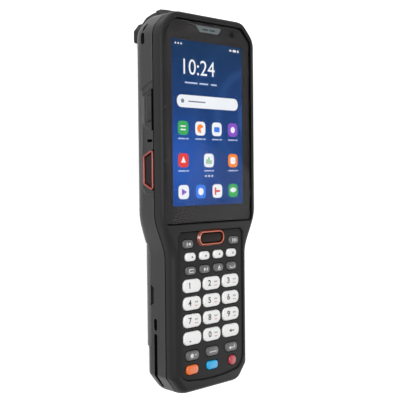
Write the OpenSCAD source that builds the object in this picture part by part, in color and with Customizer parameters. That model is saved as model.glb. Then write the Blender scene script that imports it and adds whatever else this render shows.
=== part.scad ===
// Hand-held bar code data terminal, lying on its back.
// +Z comes out of the display, +Y runs towards the scanner head, and the
// origin is the middle of the footprint on the surface that it lies on.

/* [Body] */
// Width across the display end
body_w = 70; // [69.6:0.2:71]
// Width across the grip
grip_w = 56.4; // [56:0.2:57.2]
// Overall length with the scanner head
total_l = 208; // [206:1:211]
// Length of the scanner head past the body's top edge
nose_out = 6.6; // [6:0.2:7.2]
// Height of the front rim over the surface it lies on
rim_z = 28.8; // [28.6:0.1:29.4]
// Wall thickness of the rear housing
wall = 2; // [1.8:0.1:2.2]

/* [Display] */
// Width of the lit area
display_w = 52.3; // [51:0.1:53]
// Height of the lit area
display_h = 87.1; // [85:0.1:88]
// Width of the cover glass
glass_w = 63.7; // [62.8:0.1:64]
// Height of the cover glass
glass_h = 106.6; // [106:0.1:107]
// How far the glass's upper corners are cut off
glass_cut = 7.5; // [6.5:0.5:8.5]

/* [Keypad] */
// Distance between the three columns of number keys
column_pitch = 14.5; // [14.4:0.1:14.8]
// Distance between the rows of number keys
row_pitch = 9.3; // [9.2:0.1:9.4]
// Distance between the four columns of small keys
small_pitch = 10.3; // [10.1:0.1:10.4]
// How far the number keys stand above the bezel
key_rise = 1.1; // [0.8:0.1:1.6]
// Travel of a key
key_travel = 0.4; // [0.3:0.05:0.45]

/* [Battery] */
// Length of the battery pack
pack_l = 56; // [54:0.5:57]
// Height of the parting line between pack and housing
pack_seam = 10.1; // [9.6:0.1:10.4]

/* [Hidden] */
$fn = 48;
eps = 0.01;
y_nose = total_l / 2;
y_foot = -total_l / 2;
y_top = y_nose - nose_out;

// outline of the body seen from the front
// its cut corners, as their lengths across and along, and their rounding
corner_top = [9.4, 9.4, 10];
corner_foot = [7.5, 9.6, 3.5];
waist_low = y_foot + 72;
waist_high = y_foot + 97;

// cross-section of the body
back_z = 4;
edge_body = 2;
edge_grip = 4.2;
edge_back_body = 9.3;
edge_back_grip = 7;
foot_curl = 3.8;
end_edge = 1.6;
// the front face's fall to the foot, as its run and its drop
foot_end = [3.5, 5];

// layers under the front face
seam_z = rim_z - 6.4;
face_z = rim_z - 0.8;
glass_t = 1.2;
front_in = rim_z - 3.8;
front_wall = 3;
bezel_t = 1.6;
flange_z = face_z - bezel_t - 0.1;
flange_t = 0.8;
mat_top = flange_z - flange_t - key_travel - 0.3;
board_top = mat_top - 1.8;
board_t = 1;
main_top = board_top - 2.4;
main_t = 1.2;

// display
display_y = y_top - 57.7;
glass_y1 = y_top - 3.8;
glass_y0 = glass_y1 - glass_h;
module_w = display_w + 3;
module_y0 = display_y - display_h / 2 - 4;
module_y1 = display_y + display_h / 2 + 1.5;
grille_y0 = glass_y1 - 5.1;
grille_y1 = glass_y1 - 1.7;
grille_w0 = 13.6;
grille_w1 = 20;
lens_x = 18.3;
lens_y = glass_y1 - 4.2;
lens_r = 2.2;

// keypad bezel
bezel_w = 48.6;
bezel_y1 = glass_y0 - 4.7;
bezel_y0 = y_foot + 5.9;
bezel_corner = 8;
bezel_chamfer = 2.1;
bezel_lip = 1.5;

// rows of keys, as heights of their middles
row_coloured = y_foot + 12.8;
row_grey_low = y_foot + 20.4;
row_zero = y_foot + 29.7;
row_grey_high = y_foot + 65.7;
row_arrows = y_foot + 73;
row_soft = y_foot + 80;
scan_y = y_foot + 82.4;

// widths and heights of the keys
big = [12.6, 7.1, 2.8];
small = [7.3, 4.5, 2.1];
middle = [9.2, 5.1, 2.3];
orange_size = [8.5, 5, 2.3];
blue_size = [8.1, 4.6, 1.8];
red_size = [5.6, 5.5, 2.7];
scan_size = [16.4, 5.3, 2.5];
key_gap = 0.25;
flange_out = 0.5;
dome_r = 2.7;
dome_h = 0.4;
mat_hole_r = 3;
plunger_r = 1.5;
plunger_l = flange_z - flange_t - board_top - dome_h - key_travel - 0.1;

// scan key's ring
ring_out = [20.2, 8.8, 4.2];
ring_in = [17, 5.9, 2.8];
ring_foot = [21.4, 10, 4.8];
ring_seat = [18.4, 7.2, 3.4];
ring_rise = 1.2;

// side controls, as corners in Y and Z of the left side, in a shallow recess
recess_pts = [[y_foot + 104.1, seam_z + 1], [y_foot + 107.3, seam_z - 7.7],
              [y_foot + 110.4, seam_z - 10], [y_foot + 161, seam_z - 9.7],
              [y_foot + 163.7, seam_z - 4.8], [y_foot + 165.6, seam_z + 1]];
recess = 0.7;
trigger_pts = [[y_foot + 107.9, seam_z - 0.4], [y_foot + 130.4, seam_z - 0.4],
               [y_foot + 126.7, seam_z - 9], [y_foot + 111.6, seam_z - 9]];
rocker_pts = [[y_foot + 138.4, seam_z - 0.9], [y_foot + 162, seam_z - 0.9],
              [y_foot + 158.4, seam_z - 9], [y_foot + 142.6, seam_z - 9]];
rocker_trench = [[y_foot + 139.6, seam_z - 2.6], [y_foot + 161.2, seam_z - 1.1]];
trigger_y = (trigger_pts[0][0] + trigger_pts[1][0]) / 2;
trigger_z = seam_z - 4.6;
trigger_ring_t = 1.1;
trigger_gap = 0.3;
trigger_travel = 0.7;
trigger_sunk = 0.4;
ring_crest = 0.25;
trigger_inside = 2.4;
side_x = body_w / 2;
ring_seat_x = side_x - 1.6;
rocker_y = y_foot + 151.3;
rocker_z = seam_z - 4.8;
rocker_l = 13.4;
rocker_h = 4.4;
rocker_slit = 1.5;
switch_face = side_x - 5.4;

// battery pack and its bay
pack_y0 = y_foot + 24;
pack_y1 = pack_y0 + pack_l;
pack_edge = 11.5;
cell_w = 47;
cell_y0 = pack_y0 + 3;
cell_y1 = pack_y1 - 6.2;
cell_top = main_top - 0.1;
bay_gap = 0.3;
bay_wall = 1.2;
bay_top = pack_seam + bay_gap + 2;
contact_z = bay_top + 3.6;
latch_w = 16;
latch_y1 = pack_y0 - 2.4;
latch_l = 5.6;
latch_z = 4.4;
latch_t = 2.2;
latch_travel = 3;
tongue_w = 8;

// scanner head: half outlines of its plate and of its nose, which leans back
head_y0 = y_top - 14;
head_top_z = 17.4;
head_wall = 1.6;
bumper_t = 0.7;
plate_pts = [[29.9, head_y0], [29.9, y_top - 7.6], [26.4, y_top - 3.6]];
nose_pts = [[24.4, head_y0], [24.4, y_top - 3], [21.2, y_top + 0.9], [17, y_top + 3.6],
            [12.2, y_top + 5.6], [8.6, y_nose - bumper_t]];
nose_layers = [[0, 0.8], [1.6, 0], [3, 0], [8, 1.6], [13.4, 4.1], [head_top_z, 6.6]];
window_z = 7.8;
scan_pane = [15, 7.2];
pane_y = y_nose - 5.6;
collar_t = 1;

// parts on the back and at the foot
camera_x = 15;
camera_y = y_top - 31;
camera_r = 4.6;
flash_x = 5.4;
speaker_y = y_foot + 112;
port_z = rim_z - 11.4;
port_size = [9, 3.2];
flap = [14, 7, 1.3];
flap_out = y_foot + 0.2;
charge_x = [-15, -11, 11, 15];
groove_z = 13.9;

// screws: two at the head, two below the display, two at the foot
screw_spots = [[-29.6, y_top - 27], [29.6, y_top - 27], [-29.6, y_foot + 100],
               [29.6, y_foot + 100], [-21.6, y_foot + 7], [21.6, y_foot + 7]];
screw_r = 1;
screw_hole_r = 1.15;
screw_head_r = 1.9;
screw_seat_z = 8.5;
boss_r = 2.4;

// pillars under the main board
pillar_spots = [[-22, y_foot + 104], [22, y_foot + 104],
                [-23.5, y_top - 25.4], [23.5, y_top - 25.4]];

// every key: name, place, size and colour
white = [0.9, 0.9, 0.89];
grey = [0.36, 0.36, 0.37];
orange = [0.95, 0.42, 0.14];
function key_row(names, y, pitch, size, tint) =
    [for (i = [0 : len(names) - 1])
        [names[i], [(i - (len(names) - 1) / 2) * pitch, y], size, tint]];
number_rows = [["key_point", "key_0", "key_delete"], ["key_7", "key_8", "key_9"],
               ["key_4", "key_5", "key_6"], ["key_1", "key_2", "key_3"]];
KEYS = concat(
    key_row(["key_soft_left", "key_soft_right"], row_soft, 34.4, small, grey),
    key_row(["key_left", "key_down", "key_up", "key_right"],
            row_arrows, small_pitch, small, white),
    key_row(["key_escape", "key_tab", "key_shift", "key_space"],
            row_grey_high, small_pitch, small, grey),
    [for (r = [0 : 3])
        each key_row(number_rows[r], row_zero + r * row_pitch, column_pitch, big, white)],
    key_row(["key_function", "key_mode", "key_enter"],
            row_grey_low, column_pitch + 0.2, middle, grey),
    [["key_orange", [-14.8, row_coloured], orange_size, orange],
     ["key_blue", [0, row_coloured], blue_size, [0.08, 0.66, 0.9]],
     ["key_power", [15.6, row_coloured], red_size, [0.82, 0.2, 0.26]],
     ["scan_key", [0, scan_y], scan_size, [0.16, 0.16, 0.17]]]);

// ---- the body's outer form, a loft of rounded sections along Y ----

function clamp01(t) = max(0, min(1, t));
function ease(t) = t * t * (3 - 2 * t);
// 0 along the grip, 1 along the display end
function fullness(y) = ease(clamp01((y - waist_low) / (waist_high - waist_low)));
function mix(a, b, y) = a + (b - a) * fullness(y);
// how far a rounded end of radius r has fallen back, d past its start
function fall(r, d) = r - sqrt(max(0, r * r - pow(max(0, min(r, d)), 2)));

// a cut corner drawn in by inset
function drawn_in(c, inset) =
    let (a = atan2(c[0], c[1]))
    [c[0] + inset * (tan(45 - a / 2) - 1), c[1] + inset * (tan(a / 2) - 1), c[2] - inset];
// how far a cut corner has pulled the side in, at distance d from the end
function pulled(d, c) =
    let (r = c[2], a = atan2(c[0], c[1]), t = r * tan(a / 2))
    d >= c[1] + t ? 0 :
    d >= c[1] - t * cos(a) ? fall(r, c[1] + t - d) :
    d >= r * (1 - sin(a)) ? (c[1] - d) * c[0] / c[1] :
    c[0] + r * tan(45 - a / 2) - sqrt(r * r - pow(r - max(0, d), 2));

function half_width(y, inset) =
    mix(grip_w, body_w, y) / 2 - inset
    - pulled(y_top - inset - y, drawn_in(corner_top, inset))
    - pulled(y - y_foot - inset, drawn_in(corner_foot, inset));
function front_at(y, inset) =
    rim_z - inset - fall(end_edge, y - (y_top - inset - end_edge))
    - fall(foot_end[0], y_foot + inset + foot_end[0] - y) * foot_end[1] / foot_end[0];
function back_at(y, inset) =
    back_z + inset + fall(foot_curl - inset, y_foot + foot_curl - y);

function arc(cx, cz, r, from, to, n) =
    [for (i = [0 : n]) let (a = from + (to - from) * i / n)
        [cx + r * cos(a), cz + r * sin(a)]];
function section(w, front, back, rf, rb) =
    concat(arc(w - rf, front - rf, rf, 0, 90, 4),
           arc(rf - w, front - rf, rf, 90, 180, 4),
           arc(rb - w, back + rb, rb, 180, 270, 6),
           arc(w - rb, back + rb, rb, 270, 360, 6));
// distances from the end at which a cut corner needs a section
function stops(c) =
    let (r = c[2], a = atan2(c[0], c[1]), t = r * tan(a / 2),
         low = r * (1 - sin(a)), high = c[1] - t * cos(a))
    concat([for (i = [0 : 3]) r * (1 - cos((90 - a) * i / 3))],
           [for (i = [1 : 3]) low + (high - low) * i / 4],
           [for (i = [3 : -1 : 0]) c[1] + t - r * sin(a * i / 3)]);
function stations(inset) =
    let (foot = stops(drawn_in(corner_foot, inset)), top = stops(drawn_in(corner_top, inset)))
    concat([for (d = foot) y_foot + inset + d],
           [for (y = [y_foot + 24 : 24 : waist_low - 4]) y],
           [for (i = [0 : 7]) waist_low + (waist_high - waist_low) * i / 7],
           [for (i = [len(top) - 1 : -1 : 0]) y_top - inset - top[i]]);
function section_at(y, inset) =
    let (w = half_width(y, inset), front = front_at(y, inset), back = back_at(y, inset),
         most = min(w, (front - back) / 2) - 0.1,
         rf = min(most, mix(edge_grip, edge_body, y) - min(inset, 1.7)),
         rb = min(most, mix(edge_back_grip, edge_back_body, y) - inset))
    section(w, front, back, rf, rb);

// the body's form, drawn in from its outside by inset
module body_form(inset = 0) {
    ys = stations(inset);
    rings = [for (y = ys) [for (p = section_at(y, inset)) [p[0], y, p[1]]]];
    n = len(rings[0]);
    last = len(ys) - 1;
    polyhedron(
        points = [for (r = rings) each r],
        faces = concat(
            [[for (j = [n - 1 : -1 : 0]) j], [for (j = [0 : n - 1]) last * n + j]],
            [for (i = [0 : last - 1], j = [0 : n - 1])
                [i * n + j, i * n + (j + 1) % n, (i + 1) * n + (j + 1) % n]],
            [for (i = [0 : last - 1], j = [0 : n - 1])
                [i * n + j, (i + 1) * n + (j + 1) % n, (i + 1) * n + j]]),
        convexity = 6);
}

// a block between two corners
module block(low, high) {
    translate(low) cube(high - low);
}

// a block on both sides of the middle plane
module block_pair(low, high) {
    block(low, high);
    mirror([1, 0, 0]) block(low, high);
}

// a flat outline in X and Y, raised from z0 to z1
module raise(z0, z1) {
    translate([0, 0, z0]) linear_extrude(z1 - z0) children();
}

// a flat outline in Y and Z, drawn out along X from x0 to x1
module sideways(x0, x1) {
    translate([x0, 0, 0]) rotate([90, 0, 90]) linear_extrude(x1 - x0) children();
}

// a flat outline in X and Z, drawn out along Y from y0 to y1
module lengthways(y0, y1) {
    translate([0, y1, 0]) rotate([90, 0, 0]) linear_extrude(y1 - y0) children();
}

// a rectangle with rounded corners, grown by more
module pill(size, more = 0) {
    offset(r = size[2] + more, $fn = 24)
        square([size[0] - 2 * size[2], size[1] - 2 * size[2]], center = true);
}

// ---- outlines ----

module glass_outline(more = 0) {
    w = glass_w / 2;
    offset(delta = more) hull() {
        for (s = [-1, 1]) {
            translate([s * (w - 5), glass_y1 - glass_cut - 2]) circle(5);
            translate([s * (w - glass_cut - 2), glass_y1 - 5]) circle(5);
            translate([s * (w - 2), glass_y0 + 2]) circle(2, $fn = 16);
        }
    }
}

module grille_outline(more = 0) {
    offset(delta = more)
        polygon([[-grille_w0 / 2, grille_y0], [grille_w0 / 2, grille_y0],
                 [grille_w1 / 2, grille_y1], [-grille_w1 / 2, grille_y1]]);
}

module bezel_outline(more = 0) {
    w = bezel_w / 2;
    right = concat(
        [[w - bezel_chamfer, bezel_y1], [w, bezel_y1 - bezel_chamfer]],
        arc(w - bezel_corner, bezel_y0 + bezel_corner + 1.4, bezel_corner, 0, -76, 6),
        [[9, bezel_y0 + 0.4], [0, bezel_y0]]);
    left = [for (i = [len(right) - 2 : -1 : 0]) [-right[i][0], right[i][1]]];
    offset(delta = more) polygon(concat(right, left));
}

// the cut through the rear housing's back for the battery pack
module pack_outline(more = 0) {
    translate([-side_x - 5, pack_y0 - more]) square([body_w + 10, pack_l + 2 * more]);
}

// ---- shells ----

module front_housing() {
    color([0.2, 0.2, 0.21]) difference() {
        union() {
            difference() {
                body_form();
                block([-60, -150, -10], [60, 150, seam_z]);
                intersection() {
                    body_form(front_wall);
                    block([-60, -150, 0], [60, 150, front_in]);
                }
            }
            // tapered bosses for the screws
            for (s = screw_spots) translate([s[0], s[1], 0]) hull() {
                translate([0, 0, seam_z]) cylinder(r = boss_r, h = 1, $fn = 24);
                translate([0, 0, front_in]) cylinder(r = boss_r + 0.3, h = 0.5, $fn = 24);
            }
        }
        raise(face_z - glass_t, rim_z + 1) glass_outline(0.15);
        // opening for the display module
        hull() for (x = [-1, 1], y = [module_y0 + 0.5, module_y1 - 0.5])
            translate([x * (module_w / 2 - 0.5), y, seam_z - 1]) cylinder(r = 0.8, h = 8, $fn = 16);
        raise(face_z - bezel_t, rim_z + 1) bezel_outline(0.1);
        raise(seam_z - 1, rim_z + 1) bezel_outline(-bezel_lip);
        // opening for the scan key's ring, which runs past the bezel
        translate([0, scan_y, 0]) {
            raise(seam_z - 1, flange_z + 0.05) pill(ring_foot, 0.15);
            raise(seam_z - 1, rim_z + 1) pill(ring_out, 0.1);
        }
        // sound path and lens well in the ledge under the glass
        hull() for (x = [-3.6, 3.6]) translate([x, (grille_y0 + grille_y1) / 2, seam_z])
            cylinder(r = 1.4, h = 6, $fn = 16);
        translate([lens_x, lens_y, seam_z]) cylinder(r = lens_r + 0.2, h = 6, $fn = 24);
        // groove that holds the seal
        raise(seam_z - 1, seam_z + 0.65) seal_outline(0.05);
        for (s = screw_spots) translate([s[0], s[1], seam_z - 1])
            cylinder(r = screw_hole_r, h = 3, $fn = 16);
    }
}

// the parting line's outline, drawn in by inset, and a band of it
module seam_outline(inset) {
    ys = stations(inset);
    polygon(concat([for (y = ys) [half_width(y, inset), y]],
                   [for (i = [len(ys) - 1 : -1 : 0]) [-half_width(ys[i], inset), ys[i]]]));
}
module seal_outline(more) {
    difference() {
        seam_outline(1.1 - more);
        seam_outline(1.9 + more);
    }
}

module housing_seal() {
    color([0.12, 0.12, 0.12]) raise(seam_z, seam_z + 0.6) seal_outline(0);
}

// a half outline of the head, mirrored; its front points moved back by lean
module head_outline(half, lean) {
    right = [for (p = half) [p[0], p[1] - (p[1] > y_top - 3.2 ? lean : 0)]];
    polygon(concat(right, [for (i = [len(half) - 1 : -1 : 0]) [-right[i][0], right[i][1]]]));
}

// the scanner head's form, drawn in by inset
module head_form(inset = 0) {
    hull() {
        raise(inset, inset + eps) offset(delta = -inset - 0.6) head_outline(plate_pts, 0);
        raise(max(inset, 1), 11) offset(delta = -inset) head_outline(plate_pts, 0);
    }
    hull() for (l = nose_layers) {
        z = max(inset, min(l[0], head_top_z - inset - eps));
        raise(z, z + eps) offset(delta = -inset) head_outline(nose_pts, l[1]);
    }
}

// the part of the nose that the rubber bumper covers, and the window's opening
module bumper_zone() {
    lengthways(y_top + 0.1, y_nose + 1)
        polygon([[-15, 1.6], [15, 1.6], [21, 15.6], [-21, 15.6]]);
}
module pane_zone(y0, y1, more = 0) {
    lengthways(y0, y1) translate([0, window_z]) offset(delta = more) square(scan_pane, center = true);
}

module scanner_head() {
    color([0.3, 0.3, 0.31]) difference() {
        head_form();
        head_form(head_wall);
        body_form(wall);
        pane_zone(y_top - 4, y_nose + 1, collar_t + 0.1);
    }
}

// a slot with round ends, from p to q in Y and Z, sunk along X from x0 to x1
module slot(x0, x1, p, q, r) {
    hull() for (c = [p, q]) translate([x0, c[0], c[1]]) rotate([0, 90, 0])
        cylinder(r = r, h = x1 - x0, $fn = 16);
}

// grooves, slots and pockets on one side of the rear housing
module side_slots() {
    // lanyard eyelet: a mouth in the side and one round the corner, joined behind a bar
    slot(-side_x - 1, -side_x + 4, [y_top - 15.4, 14.1], [y_top - 12.2, 14.1], 1.5);
    slot(-side_x - 1, -side_x + 6, [y_top - 9, 14.1], [y_top - 6.6, 14.4], 0.9);
    slot(-side_x + 2.4, -side_x + 4, [y_top - 15.4, 14.1], [y_top - 8, 14.1], 1.2);
    // long groove down the grip, which runs on round the foot's cut corner
    slot(-32, -25.2, [y_foot + 34.7, groove_z], [y_foot + 38.7, groove_z], 1.2);
    slot(-32, -25.2, [y_foot + 10.3, groove_z], [y_foot + 30.7, groove_z], 1.2);
    hull() {
        slot(-32, -25.2, [y_foot + 10.3, groove_z], [y_foot + 10.4, groove_z], 1.2);
        slot(-32, -21.2, [y_foot + 3.2, groove_z - 0.6], [y_foot + 3.3, groove_z - 0.6], 1.2);
    }
    // finger notch beside the battery pack
    hull() {
        block([-32, y_foot + 46.4, pack_seam - 1], [-26.9, y_foot + 58.2, pack_seam]);
        block([-32, y_foot + 48.4, pack_seam + 2.4], [-26.9, y_foot + 56.2, pack_seam + 2.8]);
    }
    // small sound hole between the rocker and the trigger
    slot(-side_x - 1, -side_x + 1.5, [y_foot + 134.4, seam_z - 5.6], [y_foot + 134.4, seam_z - 2.8], 0.8);
    // recess round the side controls
    sideways(-side_x - 1, -side_x + recess) polygon(recess_pts);
}

module rear_housing() {
    color([0.3, 0.3, 0.31]) difference() {
        union() {
            difference() {
                body_form();
                body_form(wall);
                block([-60, -150, seam_z], [60, 150, 60]);
                head_form(-0.1);
            }
            intersection() {
                body_form(0.5);
                union() rear_inside();
            }
        }
        raise(-1, pack_seam + bay_gap) pack_outline(bay_gap);
        block([-cell_w / 2 - bay_gap, cell_y0 - bay_gap, 0],
              [cell_w / 2 + bay_gap, cell_y1 + bay_gap, cell_top + bay_gap]);
        // window for the battery contacts
        block([-6.2, cell_y1 - 1, bay_top], [6.2, cell_y1 + 4, contact_z + 2.6]);
        // latch: its track and the slot for its tongue
        block([-latch_w / 2 - 0.3, latch_y1 - latch_l - latch_travel - 0.3, 0],
              [latch_w / 2 + 0.3, latch_y1 + 0.3, latch_z + latch_t + 0.3]);
        block([-tongue_w / 2 - 0.3, latch_y1 - 1, latch_z + 0.7],
              [tongue_w / 2 + 0.3, pack_y0 + 1, latch_z + latch_t + 0.3]);
        side_slots();
        mirror([1, 0, 0]) side_slots();
        for (s = [0, 1]) mirror([s, 0, 0]) {
            sideways(-side_x - 1, -ring_seat_x) offset(delta = 0.05) polygon(trigger_pts);
            sideways(-side_x, -side_x + 5) offset(delta = -trigger_ring_t) polygon(trigger_pts);
        }
        // fine groove along the parting line
        raise(seam_z - 0.5, seam_z + 1) difference() {
            seam_outline(-1);
            seam_outline(0.4);
        }
        // rocker: a shallow pocket with the opening at its middle, and a trench along the pocket
        hull() {
            sideways(-side_x - 1, -side_x + recess) polygon(rocker_pts);
            sideways(-side_x + recess + 0.6, -side_x + recess + 0.7)
                offset(delta = -0.6) polygon(rocker_pts);
        }
        block([-side_x - 1, rocker_y - rocker_l / 2 - 0.4, rocker_z - rocker_h / 2 - 0.3],
              [-side_x + 4, rocker_y + rocker_l / 2 + 0.4, rocker_z + rocker_h / 2 + rocker_slit]);
        block([-side_x - 1, rocker_trench[0][0], rocker_trench[0][1]],
              [-side_x + 2.2, rocker_trench[1][0], rocker_trench[1][1]]);
        // camera and flash
        translate([camera_x, camera_y, 0]) cylinder(r = camera_r + 0.1, h = 8, $fn = 32);
        translate([flash_x, camera_y, 0]) cylinder(r = 1.7, h = 8, $fn = 16);
        // loudspeaker slots
        for (i = [-3 : 3]) hull() for (s = [-1, 1])
            translate([2.6 * i, speaker_y + 3.5 * s, 0]) cylinder(r = 0.7, h = 7, $fn = 12);
        // connector: a seat for the rubber flap and the mouth of the socket
        block([-flap[0] / 2 - 0.3, y_foot - 1, port_z - flap[1] / 2 - 0.3],
              [flap[0] / 2 + 0.3, flap_out + flap[2] + 0.1, port_z + flap[1] / 2 + 0.3]);
        block([-port_size[0] / 2 - 0.3, y_foot - 1, port_z - port_size[1] / 2 - 0.4],
              [port_size[0] / 2 + 0.3, y_foot + 9, port_z + port_size[1] / 2 + 0.6]);
        for (x = charge_x) translate([x, y_foot + 5, port_z]) rotate([90, 0, 0])
            cylinder(r = 1.3, h = 8, $fn = 16);
        for (s = screw_spots) translate([s[0], s[1], 0]) {
            cylinder(r = screw_head_r + 0.2, h = screw_seat_z, $fn = 24);
            cylinder(r = screw_hole_r, h = 40, $fn = 16);
        }
    }
}

// walls, bosses and backings inside the rear housing
module rear_inside() {
    // bay floor and its two end walls
    block([-40, pack_y0 - 2.3, pack_seam + bay_gap],
          [40, pack_y1 + 2.3, bay_top]);
    block([-40, pack_y0 - 2.3, 0], [40, pack_y0 - bay_gap, pack_seam + 1]);
    block([-40, pack_y1 + bay_gap, 0], [40, pack_y1 + 2.3, pack_seam + 1]);
    // well that takes the cells
    block([-cell_w / 2 - bay_wall - bay_gap, cell_y0 - bay_wall - bay_gap, pack_seam],
          [cell_w / 2 + bay_wall + bay_gap, cell_y1 + bay_wall + bay_gap, board_top - board_t]);
    // floor of the latch track
    block([-latch_w / 2 - 2, latch_y1 - latch_l - latch_travel - 2, 0],
          [latch_w / 2 + 2, pack_y0 - 2, latch_z + latch_t + 2]);
    // backing of the strap slots, and of the connector
    block_pair([-40, y_top - 19, 11.5], [-side_x + 7.4, y_top - 5, 20.6]);
    block_pair([-40, y_foot + 9, 11], [-23.6, y_foot + 42, 17]);
    block_pair([-40, y_foot, 11], [-19.6, y_foot + 10, seam_z]);
    block([-9, y_foot, 11.5], [9, y_foot + 3.6, seam_z]);
    // backing of the trench, at both ends of the rocker's opening
    for (y = [y_foot + 137.6, rocker_y + rocker_l / 2 + 1.3])
        block([-40, y, seam_z - 3.8], [-side_x + 3.4, y + 5.6, seam_z]);
    block([-20, y_foot, port_z - 3], [20, y_foot + 3.2, port_z + 3]);
    // bosses for the screws, and pillars for the main board
    for (s = screw_spots) translate([s[0], s[1], 0]) cylinder(r = boss_r, h = seam_z, $fn = 24);
    for (s = pillar_spots) translate([s[0], s[1], 0]) cylinder(r = 2, h = main_top - main_t, $fn = 16);
}

// ---- front face ----

module keypad_bezel() {
    color([0.15, 0.15, 0.16]) raise(face_z - bezel_t, face_z) difference() {
        bezel_outline();
        for (k = KEYS) if (k[0] != "scan_key") translate(k[1]) pill(k[2], key_gap);
        translate([0, scan_y]) pill(ring_out, 0.1);
    }
}

module touch_glass() {
    color([0.1, 0.1, 0.12]) raise(face_z - glass_t, face_z) difference() {
        glass_outline();
        grille_outline(0.1);
    }
}

module display_module() {
    color([0.1, 0.25, 0.5]) block([-module_w / 2, module_y0, front_in - 0.4],
                                  [module_w / 2, module_y1, face_z - glass_t]);
}

module earpiece_grille() {
    color([0.38, 0.41, 0.42]) difference() {
        raise(face_z - glass_t, face_z) grille_outline();
        for (s = [-1, 1])
            block([s * 2.7 - 2, grille_y0 + 1.2, 0], [s * 2.7 + 2, grille_y0 + 1.9, 60]);
    }
}

module front_camera() {
    color([0.05, 0.05, 0.07]) translate([lens_x, lens_y, front_in - 0.2])
        cylinder(r = lens_r, h = face_z - glass_t - front_in + 0.2);
}

// one key: cap with a crowned top, retaining flange and plunger
module key_cap(k) {
    size = k[2];
    top = k[0] == "scan_key" ? face_z + key_rise - 0.3 : face_z + key_rise;
    crown = 0.45;
    crown_r = size[0] * size[0] / 8 / crown;
    color(k[3]) translate([k[1][0], k[1][1], 0]) {
        intersection() {
            raise(flange_z - flange_t, top) pill(size);
            translate([0, 0, top - crown_r]) rotate([90, 0, 0])
                cylinder(r = crown_r, h = 20, center = true, $fn = 96);
        }
        raise(flange_z - flange_t, flange_z) pill(size, flange_out);
        translate([0, 0, flange_z - flange_t - plunger_l]) cylinder(r = plunger_r, h = plunger_l + 0.1);
    }
}

module scan_key_ring() {
    color(orange) translate([0, scan_y, 0]) difference() {
        union() {
            raise(flange_z - flange_t, face_z + ring_rise) pill(ring_out);
            raise(flange_z - flange_t, flange_z) pill(ring_foot);
        }
        raise(0, 60) pill(ring_in);
        raise(0, flange_z + 0.1) pill(ring_seat);
    }
}

module board_outline() {
    translate([-bezel_w / 2 + 3.4, bezel_y0 + 8]) square([bezel_w - 6.8, bezel_y1 - bezel_y0 - 8.2]);
    translate([-19.2, bezel_y0 + 3.2]) square([38.4, 6]);
}

module keypad_mat() {
    color([0.7, 0.7, 0.7]) raise(board_top, mat_top) difference() {
        board_outline();
        for (k = KEYS) translate(k[1]) circle(mat_hole_r);
    }
}

module keypad_board() {
    color([0.1, 0.4, 0.2]) {
        raise(board_top - board_t, board_top) {
            board_outline();
            // tongue that carries the connector
            translate([-10, y_foot + 3.8]) square([20, 6]);
        }
        for (k = KEYS) translate([k[1][0], k[1][1], board_top])
            cylinder(r1 = dome_r, r2 = dome_r * 0.6, h = dome_h);
    }
}

// ---- side controls ----

module trigger_ring() {
    sideways(-side_x - ring_crest, -ring_seat_x) difference() {
        polygon(trigger_pts);
        offset(delta = -trigger_ring_t) polygon(trigger_pts);
    }
}

module trigger_rings() {
    color(orange) {
        trigger_ring();
        mirror([1, 0, 0]) trigger_ring();
    }
}

// a trigger's face, its flange behind the ring and its stem
module trigger() {
    inside = -side_x + trigger_inside;
    tip = -switch_face - trigger_travel - 0.1;
    sideways(-side_x + trigger_sunk, inside + 0.1)
        offset(delta = -trigger_ring_t - trigger_gap) polygon(trigger_pts);
    sideways(inside, inside + 0.7) offset(delta = -0.7) polygon(trigger_pts);
    translate([inside + 0.6, trigger_y, trigger_z]) rotate([0, 90, 0])
        cylinder(r = 1.2, h = tip - inside - 0.6);
}

module left_trigger() {
    color([0.18, 0.18, 0.19]) trigger();
}

module right_trigger() {
    color([0.18, 0.18, 0.19]) mirror([1, 0, 0]) trigger();
}

// a ridged bar that tilts about its middle, on a flange behind the wall
module volume_rocker() {
    x_in = -side_x + 3.3;
    x_out = -side_x + recess;
    h = rocker_h / 2;
    color([0.26, 0.26, 0.27]) translate([0, rocker_y, rocker_z]) {
        lengthways(-rocker_l / 2, rocker_l / 2)
            polygon([[x_in, -h], [x_out + 0.6, -h], [x_out - 0.4, -0.8], [x_out - 0.4, 0.3],
                     [x_out + 0.6, h], [x_in, h]]);
        block([x_in - 0.8, -rocker_l / 2 - 0.8, -h - 0.8],
              [x_in, rocker_l / 2 + 0.8, h + rocker_slit + 0.6]);
    }
}

module side_switches() {
    color([0.6, 0.6, 0.6]) {
        block_pair([-switch_face, trigger_y - 3, main_top - main_t - 2.8],
                   [-switch_face + 4.6, trigger_y + 3, main_top - main_t]);
        for (s = [-1, 1])
            block([-switch_face - 0.6, rocker_y + s * 4.5 - 1.8, main_top - main_t - 2.8],
                  [-switch_face + 4.6, rocker_y + s * 4.5 + 1.8, main_top - main_t]);
    }
}

// ---- battery ----

// the pack's cross-section, with round edges that run on past its parting line
module pack_section() {
    w = grip_w / 2;
    translate([pack_edge - w, 0]) square([grip_w - 2 * pack_edge, 2 * pack_edge]);
    for (s = [-1, 1]) translate([s * (w - pack_edge), pack_edge]) circle(pack_edge);
}

module battery_pack() {
    color([0.22, 0.22, 0.23]) difference() {
        union() {
            intersection() {
                lengthways(pack_y0, pack_y1) pack_section();
                block([-40, pack_y0, 0], [40, pack_y1, pack_seam]);
                sideways(-40, 40)
                    polygon([[pack_y0 + 1.4, 0], [pack_y1 - 12, 0], [pack_y1, back_z],
                             [pack_y1, pack_seam], [pack_y0, pack_seam], [pack_y0, 1.6]]);
            }
            block([-cell_w / 2, cell_y0, pack_seam - 1], [cell_w / 2, cell_y1, cell_top]);
        }
        // open groove for the latch's tongue
        block([-tongue_w / 2 - 0.3, pack_y0 - 1, latch_z + 0.7],
              [tongue_w / 2 + 0.3, pack_y0 + 1.6, pack_seam + 1]);
    }
}

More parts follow.
